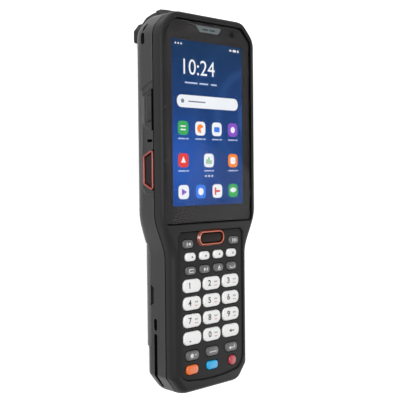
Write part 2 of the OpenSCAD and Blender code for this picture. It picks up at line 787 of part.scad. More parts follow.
module battery_latch() {
    y0 = latch_y1 - latch_l;
    color([0.16, 0.16, 0.17]) difference() {
        union() {
            block([-latch_w / 2, y0, latch_z], [latch_w / 2, latch_y1, latch_z + latch_t]);
            block([-tongue_w / 2, latch_y1 - 1, latch_z + 1],
                  [tongue_w / 2, pack_y0 + 1.2, latch_z + latch_t]);
        }
        for (i = [1 : 3]) block([-5, y0 + 1.3 * i, latch_z - 1], [5, y0 + 1.3 * i + 0.6, latch_z + 0.5]);
    }
}

module battery_contacts() {
    color([0.8, 0.65, 0.3]) {
        block([-5.8, cell_y1 + 0.4, bay_top], [5.8, cell_y1 + 4, contact_z + 2.4]);
        for (i = [-2 : 2]) block([2 * i - 0.4, cell_y1 + 0.2, contact_z - 1.6],
                                 [2 * i + 0.4, cell_y1 + 0.5, contact_z + 1.6]);
    }
}

// ---- inside ----

module main_board() {
    color([0.08, 0.35, 0.18]) {
        block([-26.5, y_foot + 98, main_top - main_t], [26.5, y_top - 20, main_top]);
        // shield cans
        block([-22, display_y - 24, main_top], [2, display_y + 4, main_top + 2]);
        block([5, display_y - 10, main_top], [23, display_y + 14, main_top + 1.8]);
        block([-20, display_y + 10, main_top - main_t - 2], [20, display_y + 26, main_top - main_t]);
    }
}

// the rubber on the nose, with a collar that holds the window
module scan_bezel() {
    color([0.06, 0.06, 0.06]) difference() {
        union() {
            difference() {
                intersection() {
                    head_form(-bumper_t);
                    bumper_zone();
                }
                head_form(-0.05);
            }
            intersection() {
                head_form(-0.3);
                pane_zone(pane_y - 1, y_nose, collar_t);
            }
        }
        pane_zone(y_top - 4, y_nose + 1, 0);
    }
}

module scan_window() {
    color([0.25, 0.05, 0.06]) pane_zone(pane_y, pane_y + 1.2);
}

module scan_engine() {
    color([0.2, 0.2, 0.2]) difference() {
        block([-10.5, y_nose - 16, window_z - 4], [10.5, y_nose - 7.2, window_z + 4]);
        translate([-4, y_nose - 6, window_z]) rotate([90, 0, 0]) cylinder(r = 2.6, h = 4);
        translate([4, y_nose - 6, window_z]) rotate([90, 0, 0]) cylinder(r = 1.8, h = 4);
    }
    // foot on the floor of the head
    color([0.2, 0.2, 0.2]) block([-8, y_nose - 14, head_wall], [8, y_nose - 8, window_z - 4]);
}

module rear_camera() {
    color([0.07, 0.07, 0.08]) {
        translate([camera_x, camera_y, back_z - 0.4]) cylinder(r = camera_r, h = 4);
        translate([camera_x, camera_y, back_z + wall]) cylinder(r = camera_r + 1, h = 0.8);
        translate([camera_x, camera_y, back_z + 3]) cylinder(r = 3.6, h = 4);
        translate([flash_x, camera_y, back_z]) cylinder(r = 1.5, h = 5.2);
        block([flash_x - 1.5, camera_y - 1.5, back_z + 5], [camera_x, camera_y + 1.5, back_z + 6.4]);
    }
}

module loudspeaker() {
    color([0.1, 0.1, 0.1])
        block([-10.5, speaker_y - 6, back_z + wall], [10.5, speaker_y + 6, back_z + wall + 3.6]);
}

module vibration_motor() {
    y = display_y - 34;
    z = main_top - main_t - 2;
    color([0.7, 0.7, 0.72]) {
        translate([-20, y, z]) rotate([0, 90, 0]) cylinder(r = 1.9, h = 9);
        translate([-10.9, y, z]) rotate([0, 90, 0]) cylinder(r = 1.7, h = 3);
        block([-19, y - 1.9, z], [-12, y + 1.9, z + 2]);
    }
}

// the connector's shell and tongue, on a riser under the keypad board
module usb_socket() {
    y0 = y_foot + 2.3;
    color([0.72, 0.72, 0.74]) {
        difference() {
            translate([0, 0, port_z]) lengthways(y0, y0 + 7.4) pill([port_size[0], port_size[1], 1.5]);
            translate([0, 0, port_z]) lengthways(y0 - 1, y0 + 6) difference() {
                pill([port_size[0] - 0.6, port_size[1] - 0.6, 1.2]);
                square([6.4, 0.7], center = true);
            }
        }
        block([-3.5, y0 + 2.4, port_z + port_size[1] / 2 - 0.1], [3.5, y0 + 7.4, board_top - board_t]);
    }
}

// the rubber flap over the socket, with its plug
module port_cover() {
    color([0.14, 0.14, 0.14]) translate([0, 0, port_z]) {
        lengthways(flap_out, flap_out + flap[2]) square([flap[0], flap[1]], center = true);
        lengthways(flap_out + flap[2] - 0.2, flap_out + flap[2] + 0.6)
            square([port_size[0] - 1, port_size[1] - 0.6], center = true);
    }
}

// four pads, each with a flange behind the wall
module charging_contacts() {
    color([0.85, 0.68, 0.3])
        for (x = charge_x) translate([x, y_foot + 3.7, port_z]) rotate([90, 0, 0]) {
            cylinder(r = 1.2, h = 3.5);
            cylinder(r = 1.7, h = 0.5);
        }
}

module housing_screws() {
    color([0.65, 0.65, 0.66]) for (s = screw_spots) translate([s[0], s[1], 0]) {
        difference() {
            translate([0, 0, screw_seat_z - 1.5]) cylinder(r = screw_head_r, h = 1.5);
            translate([0, 0, screw_seat_z - 1.6]) cylinder(r = 0.9, h = 1.1, $fn = 6);
        }
        translate([0, 0, screw_seat_z - 0.1]) cylinder(r = screw_r, h = front_in - screw_seat_z - 1.2);
    }
}

front_housing();
keypad_bezel();
touch_glass();
display_module();
earpiece_grille();
front_camera();
keypad_mat();
keypad_board();
scan_key_ring();
rear_housing();
housing_seal();
main_board();
scanner_head();
scan_bezel();
scan_window();
scan_engine();
rear_camera();
loudspeaker();
vibration_motor();
side_switches();
trigger_rings();
usb_socket();
battery_contacts();
charging_contacts();
housing_screws();
left_trigger();
right_trigger();
volume_rocker();
battery_pack();
battery_latch();
port_cover();
for (k = KEYS) key_cap(k);
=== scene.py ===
# %% [markdown]
# # A hand-held bar code terminal
# The construction comes ready made: every part at its real size, in one frame, with +Z out of the
# display and +Y towards the scanner head. This lesson gives each part its looks. The shells, keys and
# trims are modelled again with finer curves and rounded edges, around the same sizes, and each finish
# is a small node tree. The first cell loads the frame and gives a way to read each part's box.

# %% Load the frame
import math

import bmesh
import bpy
from mathutils import Matrix, Vector


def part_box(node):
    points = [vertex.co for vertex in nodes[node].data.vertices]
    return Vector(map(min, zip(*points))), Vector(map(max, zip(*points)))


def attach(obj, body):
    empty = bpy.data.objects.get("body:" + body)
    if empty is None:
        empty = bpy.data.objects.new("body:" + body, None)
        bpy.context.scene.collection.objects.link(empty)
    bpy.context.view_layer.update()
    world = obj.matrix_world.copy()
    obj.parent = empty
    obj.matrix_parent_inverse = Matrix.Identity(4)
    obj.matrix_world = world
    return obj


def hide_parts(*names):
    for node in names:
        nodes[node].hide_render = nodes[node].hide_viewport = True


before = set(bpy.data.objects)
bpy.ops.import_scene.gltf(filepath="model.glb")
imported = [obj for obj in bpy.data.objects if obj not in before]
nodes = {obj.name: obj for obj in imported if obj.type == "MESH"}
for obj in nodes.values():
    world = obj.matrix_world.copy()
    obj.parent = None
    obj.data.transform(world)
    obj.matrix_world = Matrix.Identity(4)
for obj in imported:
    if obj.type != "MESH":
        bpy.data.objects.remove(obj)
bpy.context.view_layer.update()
MM = 0.001


def span(node):
    """A node's lowest and highest corners, in millimetres."""
    low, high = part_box(node)
    return low / MM, high / MM


# %% [markdown]
# The camera stands to the left of the terminal and above its display. A long lens, about 68 mm on a
# full frame, keeps the sides nearly parallel, as in a product picture. Its direction could be set by
# three rotation angles, but a point to look at and a way up are easier to read and to change.

# %% Camera
CAMERA_AT = Vector((-286.7, 13.3, 323.7)) * MM
LOOK_AT = Vector((5.32, -1.67, 14.0)) * MM
CAMERA_UP = Vector((0.0310, 0.9993, -0.0191))
LENS, SENSOR_W = 68.44, 36


def add_object(name, data):
    """Puts a new object with these data into the scene."""
    item = bpy.data.objects.new(name, data)
    bpy.context.collection.objects.link(item)
    return item


def make_camera():
    forward = (LOOK_AT - CAMERA_AT).normalized()
    right = forward.cross(CAMERA_UP).normalized()
    up = right.cross(forward)
    data = bpy.data.cameras.new("camera")
    data.lens, data.sensor_width = LENS, SENSOR_W
    camera = add_object("camera", data)
    camera.matrix_world = Matrix.Translation(CAMERA_AT) @ Matrix((right, up, -forward)).transposed().to_4x4()
    bpy.context.scene.camera = camera
    return camera


camera = make_camera()
print("camera looks from", tuple(round(v, 3) for v in camera.location))

# %% [markdown]
# The main sizes are read from the parts themselves. Typing them in again would be shorter, but then
# the looks and the construction would drift apart at the first change. Only what the parts' boxes can't
# tell is given as a number: radii, wall thicknesses, and where the waist begins and ends.

# %% Main sizes
front_low, front_high = span("front_housing")
glass_low, glass_high = span("touch_glass")
bezel_low, bezel_high = span("keypad_bezel")
pack_low, pack_high = span("battery_pack")
head_low, head_high = span("scanner_head")
ring_low, ring_high = span("scan_key_ring")

BODY_W = front_high.x - front_low.x
GRIP_W = 2 * pack_high.x + 0.16
Y_FOOT, Y_TOP = front_low.y, front_high.y
Y_NOSE = head_high.y
SIDE = BODY_W / 2
SEAM_Z, RIM_Z = front_low.z, front_high.z
FACE_Z = glass_high.z
WAIST_LOW, WAIST_HIGH = Y_FOOT + 72, Y_FOOT + 97
CORNER_TOP, CORNER_FOOT = (9.4, 9.4, 10), (7.5, 9.6, 3.5)
BACK_Z, FOOT_CURL, END_EDGE, FOOT_END = 4, 3.8, 1.6, (3.5, 5)
EDGE_BODY, EDGE_GRIP = 2, 4.2
BACK_EDGE_BODY, BACK_EDGE_GRIP = 9.3, 7
WALL, FRONT_WALL = 2, 3
PACK_SEAM = 10.1
print("body", round(BODY_W, 1), "x", round(Y_NOSE - Y_FOOT, 1), "x", round(RIM_Z, 1), "mm")

# %% [markdown]
# Almost every piece starts from an outline, a flat list of points that runs counter-clockwise. Blender's
# curve objects could draw the same shapes, but a list is easier to mirror, to draw in and to stack.

# %% Outlines
def arc(u, v, radius, start, stop, steps):
    turns = [math.radians(start + (stop - start) * i / steps) for i in range(steps + 1)]
    return [(u + radius * math.cos(t), v + radius * math.sin(t)) for t in turns]


def pill(width, height, radius, centre=(0, 0), steps=8):
    """A rectangle with round corners."""
    w, h = width / 2 - radius, height / 2 - radius
    corners = [(w, h, 0), (-w, h, 90), (-w, -h, 180), (w, -h, 270)]
    return [p for u, v, a in corners
            for p in arc(centre[0] + u, centre[1] + v, radius, a, a + 90, steps)]


def rounded(corners, radius, steps=5):
    """A polygon with each corner rounded by an arc."""
    points = [Vector(c) for c in corners]
    result = []
    for i, here in enumerate(points):
        a = (points[i - 1] - here).normalized()
        b = (points[(i + 1) % len(points)] - here).normalized()
        half = a.angle(b) / 2
        centre = here + (a + b).normalized() * radius / math.sin(half)
        start = here + a * radius / math.tan(half) - centre
        stop = here + b * radius / math.tan(half) - centre
        for k in range(steps + 1):
            spoke = start.lerp(stop, k / steps).normalized() * radius
            result.append(tuple(centre + spoke))
    return result


def shrink(outline, depth):
    """The outline drawn in by depth, or out where depth is negative. It runs counter-clockwise."""
    result = []
    for i, here in enumerate(outline):
        before, after = Vector(outline[i - 1]), Vector(outline[(i + 1) % len(outline)])
        here = Vector(here)
        a, b = (here - before).normalized(), (after - here).normalized()
        normal_a, normal_b = Vector((-a.y, a.x)), Vector((-b.y, b.x))
        result.append(tuple(here + (normal_a + normal_b) * depth / (1 + normal_a.dot(normal_b))))
    return result


def circle(u, v, radius, steps=24):
    return arc(u, v, radius, 0, 360 - 360 / steps, steps - 1)


def stadium(p, q, radius, steps=8):
    """The outline of a slot with round ends, from p to q."""
    along = math.degrees(math.atan2(q[1] - p[1], q[0] - p[0]))
    return arc(q[0], q[1], radius, along - 90, along + 90, steps) + arc(
        p[0], p[1], radius, along + 90, along + 270, steps)


def pill_shape(width, height, radius, centre=(0, 0)):
    """A pill as a function of the inset."""
    return lambda inset: pill(width - 2 * inset, height - 2 * inset, max(radius - inset, 0.12), centre)


def corner_shape(corners, radius):
    """A rounded polygon as a function of the inset."""
    return lambda inset: rounded(shrink(corners, inset), max(radius - inset, 0.2))


print("outline helpers ready")

# %% [markdown]
# Most pieces are skins over a stack of rings. A ring is an outline at a height; when it is drawn in a
# little from one ring to the next while it climbs, the edge between side and top comes out round. A
# box with a Bevel modifier would be quicker to type, but it struggles where edges of different radii
# meet. Rings give each edge the radius that was asked for, and it catches the light.

# %% Rings and skins
def add_mesh(name, mesh):
    """Turns a mesh under construction into a piece of the scene."""
    data = bpy.data.meshes.new(name)
    mesh.to_mesh(data)
    mesh.free()
    return add_object(name, data)


def loft(name, rings, closed=False):
    """A skin over rings of equal length. An open stack is closed by a flat face at each end."""
    mesh = bmesh.new()
    rows = [[mesh.verts.new(Vector(point) * MM) for point in ring] for ring in rings]
    pairs = list(zip(rows, rows[1:]))
    if closed:
        pairs.append((rows[-1], rows[0]))
    else:
        mesh.faces.new(rows[0][::-1])
        mesh.faces.new(rows[-1])
    for a, b in pairs:
        for i in range(len(a)):
            j = (i + 1) % len(a)
            mesh.faces.new((a[i], a[j], b[j], b[i]))
    bmesh.ops.recalc_face_normals(mesh, faces=mesh.faces)
    return add_mesh(name, mesh)


def flat(u, v, w):
    return (u, v, w)


def on_left(u, v, w):
    """An outline in Y and Z, with w outwards on the left side."""
    return (-w, u, v)


def on_right(u, v, w):
    return (w, u, v)


def on_end(u, v, w):
    """An outline in X and Z, with w towards the nose."""
    return (u, w, v)


def skin(name, outline, profile, place=flat, closed=False):
    """Rings of the same outline, one for each (inset, height) of the profile.

    The outline is a list of points, or a function of the inset where it has tight corners."""
    shape = outline if callable(outline) else lambda inset: shrink(outline, inset)
    return loft(name, [[place(u, v, w) for u, v in shape(inset)] for inset, w in profile], closed)


def edge(radius, level, up=True, steps=4):
    """The profile of a round edge: from the side to the flat at that level, or back."""
    turns = [math.pi / 2 * i / steps for i in range(steps + 1)]
    side = level - radius if up else level + radius
    points = [(radius * (1 - math.cos(t)), side + (radius if up else -radius) * math.sin(t)) for t in turns]
    return points if up else points[::-1]


def slab(name, outline, low, high, top=0.3, bottom=0.0, place=flat, steps=4):
    """A plate with round edges."""
    start = edge(bottom, low, False, steps) if bottom else [(0, low)]
    stop = edge(top, high, True, steps) if top else [(0, high)]
    return skin(name, outline, start + stop, place)


print("ring helpers ready")

# %% [markdown]
# Openings could be modelled into the mesh face by face, but Boolean modifiers cut them in one step and
# leave every other face alone. They are applied at once. A cutter that flares at its mouth leaves a
# chamfer behind, so that the rim of the hole is a real, narrow, bright face and not a razor edge. The
# last helper hands a finished piece over: its material, and the body that it moves with.

# %% Cutting
CLEAR = 6  # how far a cutter reaches past the surface


def freeze(piece):
    """Applies a piece's modifiers."""
    graph = bpy.context.evaluated_depsgraph_get()
    mesh = bpy.data.meshes.new_from_object(piece.evaluated_get(graph))
    piece.modifiers.clear()
    piece.data = mesh


def combine(piece, tools, operation="DIFFERENCE"):
    """Cuts, joins or clips a piece with each tool in turn, and takes the tools away."""
    for tool in tools:
        modifier = piece.modifiers.new("combine", "BOOLEAN")
        modifier.operation, modifier.object, modifier.solver = operation, tool, "MANIFOLD"
        freeze(piece)
        bpy.data.objects.remove(tool)
    return piece


def well(outline, floor, surface, flare=0.3, place=flat):
    """A cutter that opens at the surface with a chamfer."""
    mouth = [(-flare, surface), (-flare, surface + CLEAR)]
    return skin("cutter", outline, [(0, floor), (0, surface - flare)] + mouth, place)


def box(low, high, x_sign=1):
    corners = [(low[0] * x_sign, low[1]), (high[0] * x_sign, low[1]),
               (high[0] * x_sign, high[1]), (low[0] * x_sign, high[1])]
    return loft("cutter", [[(x, y, z) for x, y in corners] for z in (low[2], high[2])])


def wide_block(low, high):
    """Everything between two heights."""
    return box((-60, -150, low), (60, 150, high))


def hull(points):
    """A convex cutter round a set of points."""
    mesh = bmesh.new()
    for point in points:
        mesh.verts.new(Vector(point) * MM)
    spare = bmesh.ops.convex_hull(mesh, input=mesh.verts)
    loose = {part for key in ("geom_interior", "geom_unused") for part in spare[key]
             if isinstance(part, bmesh.types.BMVert)}
    bmesh.ops.delete(mesh, geom=list(loose), context="VERTS")
    return add_mesh("cutter", mesh)


def smooth(piece, angle=32):
    """Smooth shading, with edges sharper than the angle left crisp."""
    piece.data.shade_smooth()
    piece.data.set_sharp_from_angle(angle=math.radians(angle))
    return piece


def install(piece, material, slot_name, body_name, *stands_for):
    """Gives a piece its finish, and says which parts it stands for and what it moves with."""
    piece.data.materials.clear()
    piece.data.materials.append(material)
    for face in piece.data.polygons:
        face.material_index = 0
    if stands_for:
        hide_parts(*stands_for)
    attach(piece, body_name)
    return piece


print("cutting helpers ready")

# %% [markdown]
# A small moulding effect is shared by all plastics and rubbers: the fine grain that a spark-eroded
# mould leaves. A picture of grain would need unwrapping and would show its seams; noise needs neither.
# It is one node group with a height for the bump and a slow tone that varies the colour by a few
# percent, as real plastic does from place to place.

# %% Grain group
def new_group(name, inputs, outputs):
    group = bpy.data.node_groups.new(name, "ShaderNodeTree")
    for title, default in inputs:
        socket = group.interface.new_socket(title, in_out="INPUT", socket_type="NodeSocketFloat")
        socket.default_value = default
    for title, kind in outputs:
        group.interface.new_socket(title, in_out="OUTPUT", socket_type=kind)
    return group, group.nodes.new("NodeGroupInput"), group.nodes.new("NodeGroupOutput")


def make_grain_group():
    group, given, result = new_group(
        "moulded_grain", [("Grain", 4200.0), ("Patches", 60.0)],
        [("Height", "NodeSocketFloat"), ("Tone", "NodeSocketFloat")])
    place = group.nodes.new("ShaderNodeTexCoord")
    grain = group.nodes.new("ShaderNodeTexNoise")
    grain.inputs["Detail"].default_value = 3
    patches = group.nodes.new("ShaderNodeTexNoise")
    patches.inputs["Detail"].default_value = 4
    for texture, scale in ((grain, "Grain"), (patches, "Patches")):
        group.links.new(place.outputs["Object"], texture.inputs["Vector"])
        group.links.new(given.outputs[scale], texture.inputs["Scale"])
    group.links.new(grain.outputs["Fac"], result.inputs["Height"])
    group.links.new(patches.outputs["Fac"], result.inputs["Tone"])
    return group


GRAIN = make_grain_group()
print("made the group", GRAIN.name)

# %% [markdown]
# Cut edges on a moulded shell are never perfectly sharp, and handling polishes them. The second group
# rounds the shading near every edge. It also compares that rounded direction with the true one, which
# gives a mask that is 0 on flat ground and 1 on the edge. There the plastic is painted lighter, partly
# as wear and partly as a painted highlight, which draws the thin light lines along the edges.

# %% Edge group
def compute(tree, operation, *values, kind="ShaderNodeMath"):
    """The result of a maths node. Each value is a number or another node's output."""
    node = tree.nodes.new(kind)
    node.operation = operation
    for socket, value in zip(node.inputs, values):
        if isinstance(value, bpy.types.NodeSocket):
            tree.links.new(value, socket)
        else:
            socket.default_value = value
    return node.outputs["Value"]


def make_edge_group():
    group, given, result = new_group(
        "edge_wear_and_highlight", [("Radius", 0.0004), ("Strength", 8.0)],
        [("Normal", "NodeSocketVector"), ("Edge", "NodeSocketFloat")])
    bevel = group.nodes.new("ShaderNodeBevel")
    bevel.samples = 6
    group.links.new(given.outputs["Radius"], bevel.inputs["Radius"])
    surface = group.nodes.new("ShaderNodeNewGeometry")
    same = compute(group, "DOT_PRODUCT", bevel.outputs["Normal"], surface.outputs["Normal"],
                   kind="ShaderNodeVectorMath")
    mask = compute(group, "MULTIPLY", compute(group, "SUBTRACT", 1, same), given.outputs["Strength"])
    mask.node.use_clamp = True
    group.links.new(bevel.outputs["Normal"], result.inputs["Normal"])
    group.links.new(mask, result.inputs["Edge"])
    return group


EDGES = make_edge_group()
print("made the group", EDGES.name)

# %% [markdown]
# The finishes share a few more steps: placing a group with its own values, blending two colours,
# carrying a value from one range to another, and reading the place on the object. Each step is a helper
# that returns its node or the one output that matters, so that a finish reads as a short sum.

# %% Node helpers
def place_group(tree, group, **values):
    node = tree.nodes.new("ShaderNodeGroup")
    node.node_tree = group
    for title, value in values.items():
        node.inputs[title].default_value = value
    return node


def blend_colours(tree, factor, first, second):
    """A blend of two colours, each a plain colour or another node's output."""
    node = tree.nodes.new("ShaderNodeMix")
    node.data_type = "RGBA"
    tree.links.new(factor, node.inputs["Factor"])
    for socket, value in (("A", first), ("B", second)):
        if isinstance(value, tuple):
            node.inputs[socket].default_value = (*value, 1)
        else:
            tree.links.new(value, node.inputs[socket])
    return node.outputs["Result"]


def map_range(tree, value, old, new=(0, 1), soft_ends=False):
    node = tree.nodes.new("ShaderNodeMapRange")
    if soft_ends:
        node.interpolation_type = "SMOOTHSTEP"
    for title, limit in zip(("From Min", "From Max", "To Min", "To Max"), (*old, *new)):
        node.inputs[title].default_value = limit
    tree.links.new(value, node.inputs["Value"])
    return node.outputs["Result"]


def position(tree):
    """The place on the object, in metres, which is the same in every pose."""
    return tree.nodes.new("ShaderNodeTexCoord").outputs["Object"]


def coordinate(tree, axis):
    parts = tree.nodes.new("ShaderNodeSeparateXYZ")
    tree.links.new(position(tree), parts.inputs[0])
    return parts.outputs[axis]


def toned(colour, gain):
    return tuple(min(1, c * gain) for c in colour)


print("node helpers ready")

# %% [markdown]
# Each finish is then a Principled shader with its plain numbers on its own sockets, fed by the two
# groups: the tone varies the colour, the edge mask paints the edges lighter, partly as wear and partly
# as a painted highlight, and the grain drives a bump of a few hundredths of a millimetre or less. One
# function makes them all, so each finish below is a line of numbers.

# %% Moulded finishes
def principled(name, colour, roughness, metallic=0.0, specular=0.5, coat=0.0):
    material = bpy.data.materials.new(name)
    material.use_nodes = True
    shader = material.node_tree.nodes["Principled BSDF"]
    shader.inputs["Base Color"].default_value = (*colour, 1)
    shader.inputs["Roughness"].default_value = roughness
    shader.inputs["Metallic"].default_value = metallic
    shader.inputs["Specular IOR Level"].default_value = specular
    shader.inputs["Coat Weight"].default_value = coat
    shader.inputs["Coat Roughness"].default_value = 0.12
    return material, shader


def moulded(name, colour, roughness, grain=4200.0, depth=0.00002, edge_wear_and_highlight_gain=1.6, variation=0.12, foot=None,
            **shading):
    """A plastic, rubber or metal with moulded grain, uneven tone, and edges painted lighter: wear and painted
    highlight.

    A foot is (axis, low, high, colour): the piece has that colour up to low, and its own from high. The foot
    colour is a painted shade."""
    material, shader = principled(name, colour, roughness, **shading)
    tree = material.node_tree
    texture = place_group(tree, GRAIN, Grain=grain)
    edges = place_group(tree, EDGES)
    surface = blend_colours(tree, texture.outputs["Tone"], toned(colour, 1 - variation),
                            toned(colour, 1 + variation))
    # A trim's foot colour is a painted shade on its flank, darker away from the crest.
    if foot:
        axis, low, high, foot_shade_colour = foot
        out_from_middle = compute(tree, "ABSOLUTE", coordinate(tree, axis))
        rise = map_range(tree, out_from_middle, (low * MM, high * MM))
        surface = blend_colours(tree, rise, foot_shade_colour, surface)
    # Edges painted lighter: partly wear, partly a painted highlight.
    wear_and_highlight = blend_colours(tree, edges.outputs["Edge"], surface, toned(colour, edge_wear_and_highlight_gain))
    bump = tree.nodes.new("ShaderNodeBump")
    bump.inputs["Strength"].default_value = 0.5
    bump.inputs["Distance"].default_value = depth
    tree.links.new(texture.outputs["Height"], bump.inputs["Height"])
    tree.links.new(edges.outputs["Normal"], bump.inputs["Normal"])
    tree.links.new(wear_and_highlight, shader.inputs["Base Color"])
    tree.links.new(bump.outputs["Normal"], shader.inputs["Normal"])
    return material


print("moulded finishes ready")

# %% [markdown]
# The shells are matt black, each a shade apart, as different mouldings are. Every edge is painted
# lighter, partly as wear and partly as a painted highlight, most of all on the rear shell and the pack.
# Keys are smoother and brighter, and the trims glossy. A trim's foot is painted darker than its crest,
# a painted shade, which makes the crest stand out as a bright line.

# %% The terminal's colours
# The trims' feet are painted darker than their crests: painted shade on the flanks.
SCAN_FOOT_SHADE = ("Z", ring_high.z - 0.55, ring_high.z - 0.05, (0.085, 0.008, 0.004))
TRIGGER_FOOT_SHADE = ("X", SIDE - 0.4, SIDE + 0.15, (0.05, 0.006, 0.004))
FRONT_PLASTIC = moulded("front_plastic", (0.011, 0.011, 0.0115), 0.48, specular=0.14, edge_wear_and_highlight_gain=1.7)
REAR_PLASTIC = moulded("rear_plastic", (0.008, 0.008, 0.0085), 0.42, specular=0.36, edge_wear_and_highlight_gain=10.0)
PACK_PLASTIC = moulded("pack_plastic", (0.012, 0.012, 0.013), 0.4, specular=0.45, edge_wear_and_highlight_gain=6.0)
HEAD_PLASTIC = moulded("head_plastic", (0.02, 0.02, 0.021), 0.6, specular=0.06, edge_wear_and_highlight_gain=1.8)
PANEL_PLASTIC = moulded("panel_plastic", (0.005, 0.005, 0.0052), 0.5, specular=0.14)
BLACK_PLASTIC = moulded("black_plastic", (0.008, 0.008, 0.008), 0.5, specular=0.15)
# Near black, for the front camera's eye and for strips that are painted shade in grooves, slits and the moat.
DEEP_BLACK = moulded("deep_black", (0.001, 0.001, 0.001), 0.8, specular=0.01, edge_wear_and_highlight_gain=1.0)
RUBBER = moulded("black_rubber", (0.014, 0.014, 0.014), 0.75, specular=0.15)
ROCKER_RUBBER = moulded("rocker_rubber", (0.021, 0.021, 0.0215), 0.6, specular=0.2, edge_wear_and_highlight_gain=2.0)
WHITE_KEY = moulded("white_key", (0.72, 0.72, 0.715), 0.38, grain=9000.0, depth=0.000006,
                    edge_wear_and_highlight_gain=1.05, variation=0.02)
GREY_KEY = moulded("grey_key", (0.076, 0.075, 0.077), 0.42, depth=0.000008, variation=0.04, edge_wear_and_highlight_gain=2.0)
ORANGE_KEY = moulded("orange_key", (0.66, 0.13, 0.02), 0.35, depth=0.000006, edge_wear_and_highlight_gain=1.1, variation=0.03)
BLUE_KEY = moulded("blue_key", (0.006, 0.33, 0.64), 0.35, depth=0.000006, edge_wear_and_highlight_gain=1.1, variation=0.03)
RED_KEY = moulded("red_key", (0.38, 0.034, 0.052), 0.35, depth=0.000006, edge_wear_and_highlight_gain=1.1, variation=0.03)
DARK_KEY = moulded("dark_key", (0.013, 0.0085, 0.0075), 0.5, depth=0.000008, variation=0.05, specular=0.1)
ORANGE_TRIM = moulded("orange_trim", (0.62, 0.15, 0.07), 0.28, depth=0.000004, edge_wear_and_highlight_gain=1.2,
                      variation=0.05, coat=0.3, foot=SCAN_FOOT_SHADE)
TRIGGER_TRIM = moulded("trigger_trim", (0.22, 0.02, 0.015), 0.3, depth=0.000004, edge_wear_and_highlight_gain=1.5,
                       variation=0.05, coat=0.12, foot=TRIGGER_FOOT_SHADE)
DARK_INK = moulded("dark_ink", (0.02, 0.02, 0.022), 0.5, depth=0.000002, variation=0.02)
LIGHT_INK = moulded("light_ink", (0.62, 0.62, 0.62), 0.5, depth=0.000002, variation=0.02)
RED_INK = moulded("red_ink", (0.55, 0.10, 0.08), 0.5, depth=0.000002, variation=0.02)
SILICONE = moulded("silicone", (0.5, 0.5, 0.5), 0.6, variation=0.04)
STEEL = moulded("steel", (0.55, 0.55, 0.56), 0.3, metallic=1.0, grain=2600.0, depth=0.000004,
                edge_wear_and_highlight_gain=1.3, variation=0.06)
GOLD = moulded("gold_contact", (0.85, 0.62, 0.28), 0.25, metallic=1.0, depth=0.000003, variation=0.05)
GRILLE_METAL = moulded("grille_metal", (0.105, 0.125, 0.13), 0.4, metallic=0.4, depth=0.000004)
print(len(bpy.data.materials), "finishes so far")

# %% [markdown]
# The body is wide at the display, draws in at the waist and stays narrow along the grip, and both ends
# have cut corners with round shoulders. It could be pushed into shape by hand, but formulas for its
# width, its front and its back keep both sides alike. They also shape the parts' own solids.

# %% Widths and heights
def fullness(y):
    """0 along the grip, 1 along the display end."""
    t = max(0, min(1, (y - WAIST_LOW) / (WAIST_HIGH - WAIST_LOW)))
    return t * t * (3 - 2 * t)


def mix(a, b, y):
    return a + (b - a) * fullness(y)


def fall(radius, past):
    """How far a round end has fallen back, a distance past its start."""
    return radius - math.sqrt(max(0, radius ** 2 - max(0, min(radius, past)) ** 2))


def drawn_in(corner, inset):
    """A cut corner (length across, length along, rounding) of an outline drawn in by the inset."""
    turn = math.atan2(corner[0], corner[1])
    return (corner[0] + inset * (math.tan(math.pi / 4 - turn / 2) - 1),
            corner[1] + inset * (math.tan(turn / 2) - 1), corner[2] - inset)


def pulled(distance, corner):
    """How far a cut corner has pulled the side in, at a distance from the end."""
    across, along, r = corner
    turn = math.atan2(across, along)
    t = r * math.tan(turn / 2)
    if distance >= along + t:
        return 0
    if distance >= along - t * math.cos(turn):
        return fall(r, along + t - distance)
    if distance >= r * (1 - math.sin(turn)):
        return (along - distance) * across / along
    return across + r * math.tan(math.pi / 4 - turn / 2) - math.sqrt(r * r - (r - max(0, distance)) ** 2)


def half_width(y, inset=0.0):
    return (mix(GRIP_W, BODY_W, y) / 2 - inset
            - pulled(Y_TOP - inset - y, drawn_in(CORNER_TOP, inset))
            - pulled(y - Y_FOOT - inset, drawn_in(CORNER_FOOT, inset)))


def front_at(y, inset=0.0):
    run, drop = FOOT_END
    return (RIM_Z - inset - fall(END_EDGE, y - (Y_TOP - inset - END_EDGE))
            - fall(run, Y_FOOT + inset + run - y) * drop / run)


def back_at(y, inset=0.0):
    return BACK_Z + inset + fall(FOOT_CURL - inset, Y_FOOT + FOOT_CURL - y)


print("half width at the grip", round(half_width(0.5 * (Y_FOOT + WAIST_LOW)), 2), "mm")

# %% [markdown]
# The body itself is one long loft: a rounded section at each of many stations along the terminal. They
# stand close together at the cut corners and the waist, where the form changes quickly. The inset
# draws the whole form in, which gives inner walls and cutters that follow it.

# %% Sections
def section(y, inset=0.0):
    w, front, back = half_width(y, inset), front_at(y, inset), back_at(y, inset)
    most = min(w, (front - back) / 2) - 0.1
    rf = min(most, mix(EDGE_GRIP, EDGE_BODY, y) - min(inset, 1.7))
    rb = min(most, mix(BACK_EDGE_GRIP, BACK_EDGE_BODY, y) - inset)
    outline = (arc(w - rf, front - rf, rf, 0, 90, 7) + arc(rf - w, front - rf, rf, 90, 180, 7)
               + arc(rb - w, back + rb, rb, 180, 270, 10) + arc(w - rb, back + rb, rb, 270, 360, 10))
    return [(x, y, z) for x, z in outline]


def stops(corner, steps=8):
    """Distances from the end at which a cut corner needs a section."""
    across, along, r = corner
    turn = math.atan2(across, along)
    t = r * math.tan(turn / 2)
    low, high = r * (1 - math.sin(turn)), along - t * math.cos(turn)
    return ([r * (1 - math.cos((math.pi / 2 - turn) * i / steps)) for i in range(steps + 1)]
            + [low + (high - low) * i / steps for i in range(1, steps)]
            + [along + t - r * math.sin(turn * i / steps) for i in range(steps, -1, -1)])


